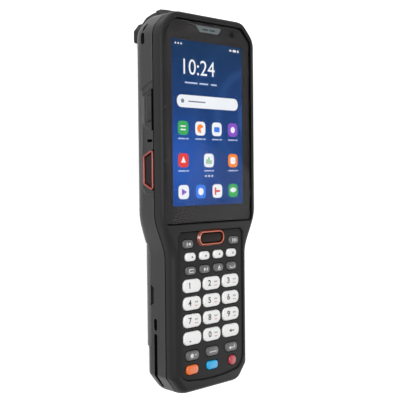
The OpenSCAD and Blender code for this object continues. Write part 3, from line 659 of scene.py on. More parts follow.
def stations(inset=0.0):
    foot = [Y_FOOT + inset + d for d in stops(drawn_in(CORNER_FOOT, inset))]
    top = [Y_TOP - inset - d for d in reversed(stops(drawn_in(CORNER_TOP, inset)))]
    waist = [WAIST_LOW + (WAIST_HIGH - WAIST_LOW) * i / 24 for i in range(25)]
    grip = [foot[-1] + (WAIST_LOW - foot[-1]) * i / 12 for i in range(1, 12)]
    chest = [WAIST_HIGH + (top[0] - WAIST_HIGH) * i / 12 for i in range(1, 12)]
    return foot + grip + waist + chest + top


def body(name, inset=0.0):
    return loft(name, [section(y, inset) for y in stations(inset)])


def plan(inset=0.0):
    """The body's outline from the front, counter-clockwise."""
    right = [(half_width(y, inset), y) for y in stations(inset)]
    return right + [(-x, y) for x, y in reversed(right)]


print("the body has", len(stations()), "sections of", len(section(0)), "points")

# %% [markdown]
# Glass and keypad panel have outlines of their own, with the upper corners cut like the body's. They
# are functions here, because the wells in the housing and the pieces that lie in them both need them.

# %% Outlines of glass and panel
GLASS_CUT, GLASS_ROUND, GLASS_T, GLASS_MOAT = 7.5, 5, 1.2, 0.55
BEZEL_CORNER, BEZEL_CHAMFER, BEZEL_T, BEZEL_LIP = 8, 2.1, 1.6, 1.5
SCAN_Y = (ring_low.y + ring_high.y) / 2
RING_OUT, SCAN_HOLE, SCAN_SEAT = (20.2, 8.8, 4.2), (20.4, 9, 4.3), (21.7, 10.3, 4.9)


def glass_outline():
    w, low, high = glass_high.x, glass_low.y, glass_high.y
    r, c = GLASS_ROUND, GLASS_CUT + 2
    right = (arc(w - 2, low + 2, 2, -90, 0, 4) + arc(w - r, high - c, r, 0, 45, 8)
             + arc(w - c, high - r, r, 45, 90, 8))
    return right + [(-x, y) for x, y in reversed(right)]


def bezel_outline():
    w, low, high = bezel_high.x, bezel_low.y, bezel_high.y
    right = (arc(w - BEZEL_CORNER, low + BEZEL_CORNER + 1.4, BEZEL_CORNER, -76, 0, 10)
             + [(w, high - BEZEL_CHAMFER), (w - BEZEL_CHAMFER, high)])
    return [(0, low), (9, low + 0.4)] + right + [(-x, y) for x, y in reversed(right)] + [(-9, low + 0.4)]


print("panel outline has", len(bezel_outline()), "points")

# %% [markdown]
# On the real thing a groove hides the uneven edges of the two mouldings, and the lip of a black seal
# shows in it. A painted line would look flat from the side, so the groove is cut into both shells, and
# the bead is a thin loop that lies in it. The bead is near black, darker than the rubber, so it is also
# painted shade deep in the groove.

# %% Parting line
GROOVE_LOW, GROOVE_HIGH = SEAM_Z - 0.75, SEAM_Z + 0.35


def seam_groove(low, high):
    """A groove along the parting line, cut into both shells."""
    profile = [(-1.5, low), (0, low), (0.15, low + 0.15), (0.8, low + 0.15),
               (0.8, high - 0.15), (0.15, high - 0.15), (0, high), (-1.5, high)]
    return loft("cutter", [[(x, y, z) for x, y in plan(inset)] for inset, z in profile], closed=True)


def make_seal_bead_and_shade():
    """The lip of the black seal between the shells, near black so that it is also painted shade in the
    groove.
    """
    low, high = GROOVE_LOW + 0.17, GROOVE_HIGH - 0.17
    profile = [(0.78, low), (0.28, low), (0.14, low + 0.14), (0.14, high - 0.14), (0.28, high), (0.78, high)]
    bead = loft("seal_bead_and_shade", [[(x, y, z) for x, y in plan(inset)] for inset, z in profile], closed=True)
    return smooth(bead)


print("groove", round(GROOVE_HIGH - GROOVE_LOW, 2), "mm wide")

# %% [markdown]
# The front housing is the part of the form above the parting line, hollowed from behind. The glass and
# the keypad lie in wells with chamfered rims, a step below the rim, and a narrow moat runs round the
# glass, which reads as the thin black line between glass and rim.

# %% Front housing
LENS_SPOT, LENS_R = (18.3, glass_high.y - 4.2), 2.2
DISPLAY_GAP, PANEL_GAP, LENS_GAP = 0.3, 0.12, 0.05


def make_front_shell():
    shell = body("front_shell")
    hollow = body("cutter", FRONT_WALL)
    combine(hollow, [wide_block(RIM_Z - 3.8, 60)])
    low, high = span("display_module")
    tools = [
        wide_block(-10, SEAM_Z), hollow,
        well(shrink(glass_outline(), -GLASS_MOAT), FACE_Z - GLASS_T, RIM_Z, 0.4),
        box((low.x - DISPLAY_GAP, low.y - DISPLAY_GAP, SEAM_Z - 1),
            (high.x + DISPLAY_GAP, high.y + DISPLAY_GAP, 40)),
        well(shrink(bezel_outline(), -PANEL_GAP), FACE_Z - BEZEL_T, RIM_Z, 0.45),
        skin("cutter", shrink(bezel_outline(), BEZEL_LIP), [(0, 0), (0, 60)]),
        skin("cutter", pill(*SCAN_SEAT, (0, SCAN_Y)), [(0, SEAM_Z - 1), (0, FACE_Z - BEZEL_T + 0.1)]),
        well(pill(*SCAN_HOLE, (0, SCAN_Y)), SEAM_Z - 1, RIM_Z, 0.3),
        skin("cutter", circle(*LENS_SPOT, LENS_R + LENS_GAP, 32), [(0, SEAM_Z + 1), (0, FACE_Z)]),
        seam_groove(SEAM_Z - 2, GROOVE_HIGH)]
    return smooth(combine(shell, tools))


def make_gasket_and_shade():
    """Black adhesive in the moat between glass and rim, which also lines the rim's inner wall in near black:
    painted shade.
    """
    floor = FACE_Z - GLASS_T + 0.02
    profile = [(0.1 - GLASS_MOAT, floor), (0.1 - GLASS_MOAT, RIM_Z - 0.5), (0.2 - GLASS_MOAT, RIM_Z - 0.45),
               (0.3 - GLASS_MOAT, FACE_Z - 0.1), (-0.06, FACE_Z - 0.2), (-0.06, floor)]
    return smooth(skin("glass_gasket_and_shade", lambda inset: shrink(glass_outline(), inset), profile, closed=True))


front_shell = make_front_shell()
install(front_shell, FRONT_PLASTIC, "front_shell", "housing", "front_housing")
# The gasket and the seal bead are near black, partly painted shade in the moat and the groove.
for piece in (make_gasket_and_shade(), make_seal_bead_and_shade()):
    install(piece, DEEP_BLACK, "black_rubber", "housing")
print("front shell:", len(front_shell.data.polygons), "faces")

# %% [markdown]
# The rear housing is the rest of the form, and its sides carry the most detail: a recess with a sloping
# wall for trigger and rocker, the lanyard eyelet, the strap groove, the finger notch and a sound slot.
# The two sides differ only by a sign, so one function makes the cutters of a side.

# %% Openings of one side
TRIGGER = [(Y_FOOT + 108.1, SEAM_Z - 0.8), (Y_FOOT + 111.6, SEAM_Z - 9),
           (Y_FOOT + 126.7, SEAM_Z - 9), (Y_FOOT + 130.2, SEAM_Z - 0.8)]
ROCKER = [(Y_FOOT + 138.4, SEAM_Z - 0.9), (Y_FOOT + 142.6, SEAM_Z - 9),
          (Y_FOOT + 158.4, SEAM_Z - 9), (Y_FOOT + 162, SEAM_Z - 0.9)]
TRENCH = [(Y_FOOT + 139.6, SEAM_Z - 2.6), (Y_FOOT + 161.2, SEAM_Z - 1.1)]
RECESS = [(Y_FOOT + 104.1, SEAM_Z + 1), (Y_FOOT + 107.3, SEAM_Z - 7.7), (Y_FOOT + 110.4, SEAM_Z - 10),
          (Y_FOOT + 161, SEAM_Z - 9.7), (Y_FOOT + 163.7, SEAM_Z - 4.8), (Y_FOOT + 165.6, SEAM_Z + 1)]
ROCKER_Y, ROCKER_Z, ROCKER_L, ROCKER_H = Y_FOOT + 151.3, SEAM_Z - 4.8, 13.4, 4.4
RING_T, RING_SEAT, SUNK = 1.1, 1.6, 0.7
RECESS_WALL = [(0.05, SIDE - SUNK), (0, SIDE - 0.5), (-0.5, SIDE), (-0.5, SIDE + CLEAR)]
EYELET_Z, EYELET_DEPTH = 14.1, 4
EYELET = ((Y_TOP - 15.4, EYELET_Z), (Y_TOP - 12.2, EYELET_Z))
EYELET_EXIT = ((Y_TOP - 9, EYELET_Z), (Y_TOP - 6.6, EYELET_Z + 0.3))
CORD_CHANNEL = ((Y_TOP - 15.4, EYELET_Z), (Y_TOP - 8, EYELET_Z))
SOUND_SLOT, SOUND_R, SOUND_DEPTH = ((Y_FOOT + 134.4, SEAM_Z - 5.6), (Y_FOOT + 134.4, SEAM_Z - 2.8)), 0.8, 1.5
GROOVE_Z, GROOVE_R, GROOVE_FLOOR, GROOVE_OUT = 13.9, 1.3, 25.2, 32
FOOT_GROOVES = [((Y_FOOT + 34.7, GROOVE_Z), (Y_FOOT + 38.7, GROOVE_Z)),
                ((Y_FOOT + 10.3, GROOVE_Z), (Y_FOOT + 30.7, GROOVE_Z))]
CORNER_RUN = [(Y_FOOT + 10.3, GROOVE_Z, GROOVE_FLOOR), (Y_FOOT + 3.2, GROOVE_Z - 0.6, GROOVE_FLOOR - 4)]
NOTCH = [(Y_FOOT + 45.4, PACK_SEAM - 2), (Y_FOOT + 59.2, PACK_SEAM - 2),
         (Y_FOOT + 56.2, PACK_SEAM + 2.8), (Y_FOOT + 48.4, PACK_SEAM + 2.8)]
NOTCH_FLOOR = 26.9


def corner_groove(place, radius):
    """The strap groove's run round the foot's cut corner."""
    return hull([place(u, v, w) for y, z, inner in CORNER_RUN for u, v in circle(y, z, radius, 16)
                 for w in (inner, GROOVE_OUT)])


def side_cutters(place):
    """Slots, grooves and the trigger's seat, with w as the distance from the middle plane."""
    def slot(ends, radius, inner, surface, flare=0.25):
        return well(stadium(*ends, radius), inner, surface, flare, place)
    eyelet_floor = SIDE - EYELET_DEPTH
    tools = [
        skin("cutter", rounded(RECESS, 0.7, 3), RECESS_WALL, place),
        slot(EYELET, 1.5, eyelet_floor, SIDE),
        skin("cutter", stadium(*EYELET_EXIT, 0.9), [(0, SIDE - 6), (0, SIDE + 1)], place),
        skin("cutter", stadium(*CORD_CHANNEL, 1.2), [(0, eyelet_floor), (0, SIDE - 2.4)], place),
        corner_groove(place, GROOVE_R),
        slot(SOUND_SLOT, SOUND_R, SIDE - SOUND_DEPTH, SIDE - SUNK, 0.15),
        well(shrink(TRIGGER, -0.12), SIDE - RING_SEAT, SIDE - SUNK, 0.15, place),
        skin("cutter", shrink(TRIGGER, RING_T), [(0, SIDE - 5), (0, SIDE)], place)]
    tools += [slot(ends, GROOVE_R, GROOVE_FLOOR, GRIP_W / 2) for ends in FOOT_GROOVES]
    tools.append(well(rounded(NOTCH, 1.2), NOTCH_FLOOR, GRIP_W / 2, 0.4, place))
    return tools


print("trigger", TRIGGER[3][0] - TRIGGER[0][0], "mm long")

# %% [markdown]
# The scanner head is a flat plate on the back and a nose that leans in towards the display. Its form
# is needed twice, to make room in the rear housing and for the head itself, so it is a function of an
# inset too.

# %% The scanner head's form
PLATE = [(29.9, head_low.y), (29.9, Y_TOP - 7.6), (26.4, Y_TOP - 3.6)]
NOSE = [(24.4, head_low.y), (24.4, Y_TOP - 3), (21.2, Y_TOP + 0.9), (17, Y_TOP + 3.6), (12.2, Y_TOP + 5.6),
        (8.6, Y_TOP + 5.9)]
NOSE_LEAN = [(0, 0.5), (1.6, 0), (3, 0), (8, 1.6), (13.4, 4.1), (17.4, 6.6)]
HEAD_EDGE = [(0.9, 0), (0.45, 0.2), (0.15, 0.55), (0, 1.0)]
PLATE_TOP, NOSE_LEVELS = 11, (2.7, 4, 5.5, 7, 8.5, 10, 11.5, 13, 14.5)


def lean_at(z):
    """How far the nose leans back at a height."""
    for (z0, a), (z1, b) in zip(NOSE_LEAN, NOSE_LEAN[1:]):
        if z <= z1:
            return a + (b - a) * (z - z0) / (z1 - z0)
    return NOSE_LEAN[-1][1]


def head_outline(half, lean, radius):
    right = [(x, y - (lean if y > head_low.y else 0)) for x, y in half]
    return rounded(right + [(-x, y) for x, y in reversed(right)], radius, 3)


def head_form(name, inset=0.0):
    """The scanner head: a flat plate on the back, and a nose that leans in towards the display."""
    top = head_high.z - inset
    low_edge = [(extra, z + inset) for extra, z in HEAD_EDGE]
    plate = [[(x, y, z) for x, y in shrink(head_outline(PLATE, 0, 1.0), inset + extra)]
             for extra, z in low_edge + [(0, PLATE_TOP)]]
    levels = low_edge + [(0, z) for z in NOSE_LEVELS] + [(0.15, top - 0.9), (0.5, top - 0.3), (0.9, top)]
    nose = [[(x, y, z) for x, y in shrink(head_outline(NOSE, lean_at(z), 1.2), inset + extra)]
            for extra, z in levels]
    return combine(loft(name, plate), [loft("cutter", nose)], "UNION")


print("nose leans in by", NOSE_LEAN[-1][1], "mm")

# %% [markdown]
# The inner walls are plain blocks, joined to the shell and clipped to its form. They matter when the
# battery pack is out: the bay then shows its floor, its ends and the deep well for the cells.

# %% Inner walls
BAY_GAP, LATCH_GAP = 0.3, 0.3
BAY_TOP = PACK_SEAM + BAY_GAP + 2
CELL_W, CELL_Y0, CELL_Y1 = 47, pack_low.y + 3, pack_high.y - 6.2
CELL_TOP = pack_high.z
PORT_Z, LATCH_W, LATCH_Z, LATCH_T = RIM_Z - 11.4, 16, 4.4, 2.2
LATCH_Y0, LATCH_Y1, LATCH_TRAVEL, TONGUE_W = span("battery_latch")[0].y, pack_low.y - 2.4, 3, 8
SCREWS = [(x, y) for x, y in ((29.6, Y_TOP - 27), (29.6, Y_FOOT + 100), (21.6, Y_FOOT + 7))]
SCREW_SPOTS = SCREWS + [(-x, y) for x, y in SCREWS]


def inner_walls():
    y0, y1 = pack_low.y, pack_high.y
    half = CELL_W / 2 + BAY_GAP + 1.2
    blocks = [((-40, y0 - 2.3, PACK_SEAM + BAY_GAP), (40, y1 + 2.3, BAY_TOP)),
              ((-40, y0 - 2.3, 0), (40, y0 - BAY_GAP, PACK_SEAM + 1)),
              ((-40, y1 + BAY_GAP, 0), (40, y1 + 2.3, PACK_SEAM + 1)),
              ((-half, CELL_Y0 - 1.5, PACK_SEAM), (half, CELL_Y1 + 1.5, 22)),
              ((-LATCH_W / 2 - 2, LATCH_Y0 - LATCH_TRAVEL - 2, 0), (LATCH_W / 2 + 2, y0 - 2, 8.6)),
              ((-9, Y_FOOT, 11.5), (9, Y_FOOT + 3.6, SEAM_Z)),
              ((-20, Y_FOOT, PORT_Z - 3), (20, Y_FOOT + 3.2, PORT_Z + 3))]
    paired = [((-40, Y_TOP - 19, 11.5), (-SIDE + 7.4, Y_TOP - 5, 20.6)),
              ((-40, Y_FOOT + 9, 11), (-23.6, Y_FOOT + 42, 17)),
              ((-40, Y_FOOT, 11), (-19.6, Y_FOOT + 10, SEAM_Z))]
    blocks += [((-40, y, SEAM_Z - 3.8), (-SIDE + 3.4, y + 5.6, SEAM_Z))
               for y in (Y_FOOT + 137.6, Y_FOOT + 159.3)]
    walls = box(*blocks[0])
    tools = [box(*b) for b in blocks[1:]] + [box(*b, x_sign=s) for b in paired for s in (1, -1)]
    tools += [skin("cutter", circle(x, y, 2.4), [(0, 0), (0, SEAM_Z)]) for x, y in SCREW_SPOTS]
    combine(walls, tools, "UNION")
    return combine(walls, [body("cutter", 0.5)], "INTERSECT")


print("bay floor at", BAY_TOP, "mm")

# %% [markdown]
# The back has the battery bay with its cell well, the latch's slot, openings for camera and flash, a
# row of slits for the loudspeaker, and deep round holes for the screws. The foot has a pocket and a
# port for the connector, and four small holes for the charging pins.

# %% Openings of the back and the foot
CAMERA_SPOT, FLASH_SPOT = (15, Y_TOP - 31), (5.4, Y_TOP - 31)
SPEAKER_Y, SPEAKER_PITCH, SPEAKER_HALF = Y_FOOT + 112, 2.6, 3.5
PIN_X = (-15, -11, 11, 15)
SCREW_SEAT = 8.5


def back_cutters():
    y0, y1 = pack_low.y, pack_high.y
    half, latch_top = CELL_W / 2 + BAY_GAP, LATCH_Z + LATCH_T + LATCH_GAP
    tools = [box((-40, y0 - BAY_GAP, -1), (40, y1 + BAY_GAP, PACK_SEAM + BAY_GAP)),
             box((-half, CELL_Y0 - BAY_GAP, 0), (half, CELL_Y1 + BAY_GAP, CELL_TOP + BAY_GAP)),
             box((-6.2, CELL_Y1 - 1, BAY_TOP), (6.2, CELL_Y1 + 4, 18.6)),
             box((-LATCH_W / 2 - LATCH_GAP, LATCH_Y0 - LATCH_TRAVEL - LATCH_GAP, 0),
                 (LATCH_W / 2 + LATCH_GAP, LATCH_Y1 + LATCH_GAP, latch_top)),
             box((-TONGUE_W / 2 - LATCH_GAP, LATCH_Y1 - 1, LATCH_Z + 0.7),
                 (TONGUE_W / 2 + LATCH_GAP, y0 + 1, latch_top)),
             box((-7.3, Y_FOOT - 1, PORT_Z - 3.8), (7.3, Y_FOOT + 1.6, PORT_Z + 3.8)),
             box((-4.8, Y_FOOT - 1, PORT_Z - 2), (4.8, Y_FOOT + 9, PORT_Z + 2.2))]
    for spot, radius in ((CAMERA_SPOT, 4.7), (FLASH_SPOT, 1.7)):
        tools.append(skin("cutter", circle(*spot, radius, 40),
                          [(-0.5, 0), (-0.5, BACK_Z), (0, BACK_Z + 0.5), (0, 8)]))
    for i in range(-3, 4):
        x = SPEAKER_PITCH * i
        slit = stadium((x, SPEAKER_Y - SPEAKER_HALF), (x, SPEAKER_Y + SPEAKER_HALF), 0.7)
        tools.append(skin("cutter", slit, [(-0.3, 0), (-0.3, BACK_Z), (0, BACK_Z + 0.3), (0, 7)]))
    for x in PIN_X:
        tools.append(skin("cutter", circle(x, PORT_Z, 1.3), [(0, Y_FOOT - 3), (0, Y_FOOT + 5)], on_end))
    for spot in SCREW_SPOTS:
        tools.append(skin("cutter", circle(*spot, 2.1), [(0, 0), (0, SCREW_SEAT)]))
    return tools


print("openings for", len(SCREW_SPOTS), "screws and", len(PIN_X), "pins")

# %% [markdown]
# All of that comes together in one shell: the form, less its inside, with the walls joined to it and
# the openings cut. The rocker's pocket and the slit above it are only on the left.

# %% Rear housing
ROCKER_SEAT = [(0.1, SIDE - SUNK - 0.65), (0, SIDE - SUNK - 0.4), (-0.45, SIDE - SUNK + 0.05),
               (-0.45, SIDE + 3)]


def make_rear_shell():
    shell = body("rear_shell")
    combine(shell, [body("cutter", WALL)])
    combine(shell, [inner_walls()], "UNION")
    combine(shell, [wide_block(SEAM_Z, 60), head_form("cutter", -0.1)])
    combine(shell, back_cutters() + side_cutters(on_left) + side_cutters(on_right))
    pocket = skin("cutter", rounded(ROCKER, 1.5), ROCKER_SEAT, on_left)
    opening = skin("cutter", pill(ROCKER_L + 0.8, ROCKER_H + 1.8, 1.2, (ROCKER_Y, ROCKER_Z + 0.6)),
                   [(0, SIDE - 4), (0, SIDE + 1)], on_left)
    (y0, z0), (y1, z1) = TRENCH
    opening = combine(opening, [box((-SIDE - 1, y0, z0), (-SIDE + 2.2, y1, z1))], "UNION")
    combine(shell, [pocket, opening, seam_groove(GROOVE_LOW, SEAM_Z + 2)])
    return smooth(shell)


rear_shell = make_rear_shell()
install(rear_shell, REAR_PLASTIC, "rear_shell", "housing", "rear_housing")
print("rear shell:", len(rear_shell.data.polygons), "faces")

# %% [markdown]
# Near-black strips lie in the deep grooves, a little below the skin, as painted shade. Without them the
# grooves would show the bare inner wall, which is as light as the shell. Each strip is the groove's own
# cutter, a hair thinner, and clipped by the body's form.

# %% Painted shade in the grooves
STRIP_DEPTH = 0.35


def make_groove_shade_fillings(side, place):
    """Near-black strips in the strap grooves and the sound slot, a little below the skin: painted shade."""
    strip_r, strip_floor = GROOVE_R - 0.03, GROOVE_FLOOR + 0.02
    grooves = [corner_groove(place, strip_r)]
    grooves += [skin("cutter", stadium(*ends, strip_r), [(0, strip_floor), (0, GROOVE_OUT)], place)
                for ends in FOOT_GROOVES]
    mesh = skin("sound_slot_shade_" + side, stadium(*SOUND_SLOT, SOUND_R - 0.02),
                [(0, SIDE - SOUND_DEPTH + 0.02), (0, SIDE - 1.1)], place)
    strips = [smooth(mesh)]
    for i, groove in enumerate(grooves):
        groove.name = "strap_shade_strip_%s_%d" % (side, i)
        strips.append(smooth(combine(groove, [body("cutter", STRIP_DEPTH)], "INTERSECT")))
    return strips


def make_trench_shade_strip():
    """A near-black strip along the foot of the slit above the rocker: painted shade in the slit."""
    (y0, z0), (y1, z1) = TRENCH
    strip = box((-SIDE + 0.85, y0 + 0.05, z0 + 0.05), (-SIDE + 2.15, y1 - 0.05, z1 - 0.05))
    strip.name = "trench_shade_strip"
    return strip


# The fillings and the trench strip are painted shade: near black where the grooves and slit would be dark.
shade_fillings = make_groove_shade_fillings("left", on_left) + make_groove_shade_fillings("right", on_right)
for piece in shade_fillings + [make_trench_shade_strip()]:
    install(piece, DEEP_BLACK, "black_rubber", "housing")
print("filled", len(shade_fillings) + 1, "grooves")

# %% [markdown]
# On the real thing the scanner head is a cap of its own, screwed over the engine. So it is a separate
# shell here as well, hollow, with a mouth for the window's collar in its leaning nose.

# %% Scanner head
pane_low, pane_high = span("scan_window")
WINDOW_Z, COLLAR_T, HEAD_WALL = (pane_low.z + pane_high.z) / 2, 1.0, 1.6
PANE_W, PANE_H = pane_high.x - pane_low.x, pane_high.z - pane_low.z


def window_hole(gap, low, high, radius=0.6):
    return skin("cutter", pill(PANE_W + 2 * gap, PANE_H + 2 * gap, radius, (0, WINDOW_Z), 4),
                [(0, low), (0, high)], on_end)


def make_head():
    head = head_form("head_shell")
    mouth = window_hole(COLLAR_T + 0.1, Y_TOP - 4, Y_NOSE + 1)
    return smooth(combine(head, [head_form("cutter", HEAD_WALL), body("cutter", WALL), mouth]))


head_shell = make_head()
install(head_shell, HEAD_PLASTIC, "rear_shell", "housing", "scanner_head")
print("head shell:", len(head_shell.data.polygons), "faces")

# %% [markdown]
# The keypad panel is a thin plate with a chamfered hole for each key. An even grid of holes would be
# simpler, but the keys differ in size, and the gap round each is the same. So the holes follow the keys
# themselves: each key's box, less its retaining flange, gives the size of its cap.

# %% Key sizes and the panel
FLANGE_OUT, KEY_GAP, KEY_FOOT = 0.5, 0.25, 2.3
KEY_NAMES = sorted(n for n in nodes if n.startswith("key_") or n == "scan_key")
CORNER_SHARE = {"key_power": 0.48, "key_blue": 0.38, "scan_key": 0.46}


def cap_size(name):
    """Middle, width, height, corner radius and top of a key's cap."""
    low, high = span(name)
    w, h = high.x - low.x - 2 * FLANGE_OUT, high.y - low.y - 2 * FLANGE_OUT
    radius = h * CORNER_SHARE.get(name, 0.4 if w > 11 else 0.44)
    return ((low.x + high.x) / 2, (low.y + high.y) / 2), w, h, radius, high.z


def make_panel():
    panel = slab("keypad_panel", shrink(bezel_outline(), 0.05), FACE_Z - BEZEL_T, FACE_Z, 0.3)
    tools = []
    for name in KEY_NAMES:
        centre, w, h, radius, _ = cap_size(name)
        if name != "scan_key":
            hole = pill_shape(w + 2 * KEY_GAP, h + 2 * KEY_GAP, radius + KEY_GAP, centre)
            tools.append(well(hole, 20, FACE_Z, 0.2))
    tools.append(well(pill_shape(*SCAN_HOLE, (0, SCAN_Y)), 20, FACE_Z, 0.15))
    return smooth(combine(panel, tools))


keypad_panel = make_panel()
install(keypad_panel, PANEL_PLASTIC, "bezel_plastic", "housing", "keypad_bezel")
print("panel with", len(KEY_NAMES), "keys")

# %% [markdown]
# A key cap is a pill with a rolled edge and a crowned top, so each key shows a soft highlight. A
# subdivided block would be round as well, but smaller than its cage. Here the height of the crown at
# any point is a formula, so the cap keeps its true size, and the ink uses the same one to lie on it.

# %% Key caps
EDGE_ROLL, CROWN_X, CROWN_Y = 0.6, 0.4, 0.3


def crown(x, y, w, h):
    """How far the top has dropped at a place on the key, measured from its middle."""
    return CROWN_X * (2 * x / w) ** 2 + CROWN_Y * (2 * y / h) ** 2


def make_cap(name):
    (cx, cy), w, h, radius, top = cap_size(name)
    rings = [[(x, y, FACE_Z - KEY_FOOT) for x, y in pill(w, h, radius, (cx, cy), 10)]]
    roll = [(EDGE_ROLL * (1 - math.cos(t)), EDGE_ROLL * (math.sin(t) - 1))
            for t in (math.pi / 2 * i / 6 for i in range(7))]
    steps = [h / 2 * share for share in (0.3, 0.45, 0.6, 0.75, 0.9, 0.98)]
    for inset, drop in roll + [(step, 0) for step in steps if step > EDGE_ROLL]:
        outline = pill(w - 2 * inset, h - 2 * inset, max(radius - inset, 0.02), (cx, cy), 10)
        rings.append([(x, y, top + drop - crown(x - cx, y - cy, w, h)) for x, y in outline])
    return smooth(loft(name + "_cap", rings), 60)


KEY_FINISH = {"scan_key": (DARK_KEY, "dark_key"), "key_orange": (ORANGE_KEY, "orange_key"),
              "key_blue": (BLUE_KEY, "blue_key"), "key_power": (RED_KEY, "red_key")}
GREY_NAMES = ("soft_left", "soft_right", "escape", "tab", "shift", "space", "function", "mode", "enter")
KEY_FINISH.update({"key_" + n: (GREY_KEY, "grey_key") for n in GREY_NAMES})
caps = {}
for name in KEY_NAMES:
    cap = make_cap(name)
    material, slot_name = KEY_FINISH.get(name, (WHITE_KEY, "white_key"))
    install(cap, material, slot_name, name, name)
    caps[name] = cap
print("made", len(caps), "caps")

# %% [markdown]
# The marks are printed on the real keys. A picture on each cap would blur up close, so they are thin
# closed solids of ink, a few hundredths of a millimetre high, that follow the crown. The number keys
# carry plain numbers, set left of the middle, with faint ticks beside them, and the other keys carry
# simple arrows and bars.

# %% Marks
INK, BEND_STEP = 0.03, 0.6


def lay_on_key(piece, name, material):
    """Drops a flat solid, drawn in millimetres about the key's middle, onto the key's crown.

    It is first cut along a grid of lines, so that its flat faces can bend."""
    (cx, cy), w, h, _, top = cap_size(name)
    mesh = bmesh.new()
    mesh.from_mesh(piece.data)
    for i in range(-10, 11):
        for axis in ((1, 0, 0), (0, 1, 0)):
            bmesh.ops.bisect_plane(mesh, geom=mesh.verts[:] + mesh.edges[:] + mesh.faces[:],
                                   plane_co=Vector(axis) * i * BEND_STEP, plane_no=axis)
    mesh.to_mesh(piece.data)
    mesh.free()
    for vertex in piece.data.vertices:
        x, y, z = vertex.co
        vertex.co = Vector((cx + x, cy + y, top - crown(x, y, w, h) + z)) * MM
    piece.data.materials.append(material)
    piece.parent = caps[name]
    return piece


def flat_mark(title, outlines):
    """Closed flat solids, one for each outline, in millimetres."""
    mesh = bmesh.new()
    for outline in outlines:
        lower, upper = [[mesh.verts.new((x, y, z)) for x, y in outline] for z in (-INK, INK)]
        mesh.faces.new(lower[::-1])
        mesh.faces.new(upper)
        for i in range(len(outline)):
            j = (i + 1) % len(outline)
            mesh.faces.new((lower[i], lower[j], upper[j], upper[i]))
    return add_mesh(title, mesh)


def number_mark(title, text, size, x=0.0, y=0.0, bold=0.07):
    """A number as a flat solid, in millimetres."""
    curve = bpy.data.curves.new(title, "FONT")
    curve.body, curve.size, curve.extrude, curve.offset = text, size, INK, bold
    curve.align_x, curve.align_y = "CENTER", "CENTER"
    source = add_object(title, curve)
    bpy.context.view_layer.update()
    graph = bpy.context.evaluated_depsgraph_get()
    data = bpy.data.meshes.new_from_object(source.evaluated_get(graph))
    data.transform(Matrix.Translation((x, y, 0)))
    bpy.data.objects.remove(source)
    return add_object(title, data)


def bar(x, y, w, h):
    return [(x - w / 2, y - h / 2), (x + w / 2, y - h / 2), (x + w / 2, y + h / 2), (x - w / 2, y + h / 2)]


def arrow(x, y, size, turn):
    """A triangle that points along +X, turned counter-clockwise by turn degrees."""
    return [(x + size * math.cos(math.radians(turn + a)), y + size * math.sin(math.radians(turn + a)))
            for a in (0, 125, 235)]


NUMBER_X, NUMBER_Y, NUMBER_SIZE = -2.3, 0.2, 4.4
for number in "0123456789":
    name = "key_" + number
    lay_on_key(number_mark(name + "_number", number, NUMBER_SIZE, NUMBER_X, NUMBER_Y), name, DARK_INK)
    if number != "1":
        ticks = [bar(1.5 + 0.85 * i, 0.75, 0.35, 0.8) for i in range(3)]
        lay_on_key(flat_mark(name + "_ticks", ticks), name, GREY_KEY)
        lay_on_key(flat_mark(name + "_dash", [bar(2.3, -1.2, 2.2, 0.3)]), name, RED_INK)

MARKS = {
    "key_left": [arrow(0.6, 0, 0.75, 180)], "key_down": [arrow(0.3, -0.1, 0.75, 270)],
    "key_up": [arrow(0.3, 0.1, 0.75, 90)], "key_right": [arrow(0.6, 0, 0.75, 0)],
    "key_soft_left": [bar(-1.2, 0, 0.55, 1.9), arrow(0.6, 0, 1.2, 180)],
    "key_soft_right": [bar(1.2, 0, 0.55, 1.9), bar(0, 0, 0.55, 1.9), bar(-1.2, 0, 0.55, 1.9)],
    "key_escape": [bar(0, 0.75, 3.2, 0.5), bar(0, -0.75, 3.2, 0.5), bar(-1.5, 0, 0.45, 1.0)],
    "key_tab": [arrow(-0.5, 0, 1.15, 0), bar(1.3, 0, 0.5, 2.0)],
    "key_shift": [arrow(0, 0.2, 1.2, 90), bar(0, -1.0, 1.7, 0.45)],
    "key_space": [bar(0, -0.8, 3.8, 0.45), bar(-1.7, -0.2, 0.45, 0.9), bar(1.7, -0.2, 0.45, 0.9)],
    "key_point": [arc(NUMBER_X, -1.4, 0.42, 0, 330, 11)],
    "key_delete": [arrow(-0.9, 0, 1.1, 180), bar(0.9, 0, 2.4, 0.5)],
    "key_function": [arc(-0.9, 0, 1.2, 0, 330, 11), bar(1.9, 0.3, 1.1, 0.5)],
    "key_mode": [bar(0, -0.2, 5.2, 0.5)],
    "key_enter": [arrow(-1.5, -0.3, 1.1, 180), bar(0.3, -0.3, 2.6, 0.5), bar(1.8, 0.35, 0.5, 1.8)]}
for name, outlines in MARKS.items():
    ink = LIGHT_INK if KEY_FINISH.get(name, (0, 0))[0] == GREY_KEY else DARK_INK
    lay_on_key(flat_mark(name + "_mark", outlines), name, ink)
print("marks on", len(MARKS) + 10, "keys")

# %% [markdown]
# The scan key sits in a glossy orange ring. A torus would be quick, but its section is a plain circle.
# The outside of this ring slopes up to a crest near the key, and its finish is painted darker towards the
# foot, a painted shade, so it shows a dark red flank and a bright orange line. The rings of the triggers
# have a flatter crest, and the same painted shade at the foot.

# %% Orange rings
def make_scan_ring():
    low, top = ring_low.z, ring_high.z
    profile = [(0, low), (0, FACE_Z + 0.1), (0.35, FACE_Z + 0.38), (0.75, top - 0.42), (1.0, top - 0.12),
               (1.12, top), (1.26, top - 0.04), (1.38, top - 0.25), (1.45, top - 0.6), (1.45, low)]
    return smooth(skin("scan_ring", pill_shape(*RING_OUT, (0, SCAN_Y)), profile, closed=True), 50)


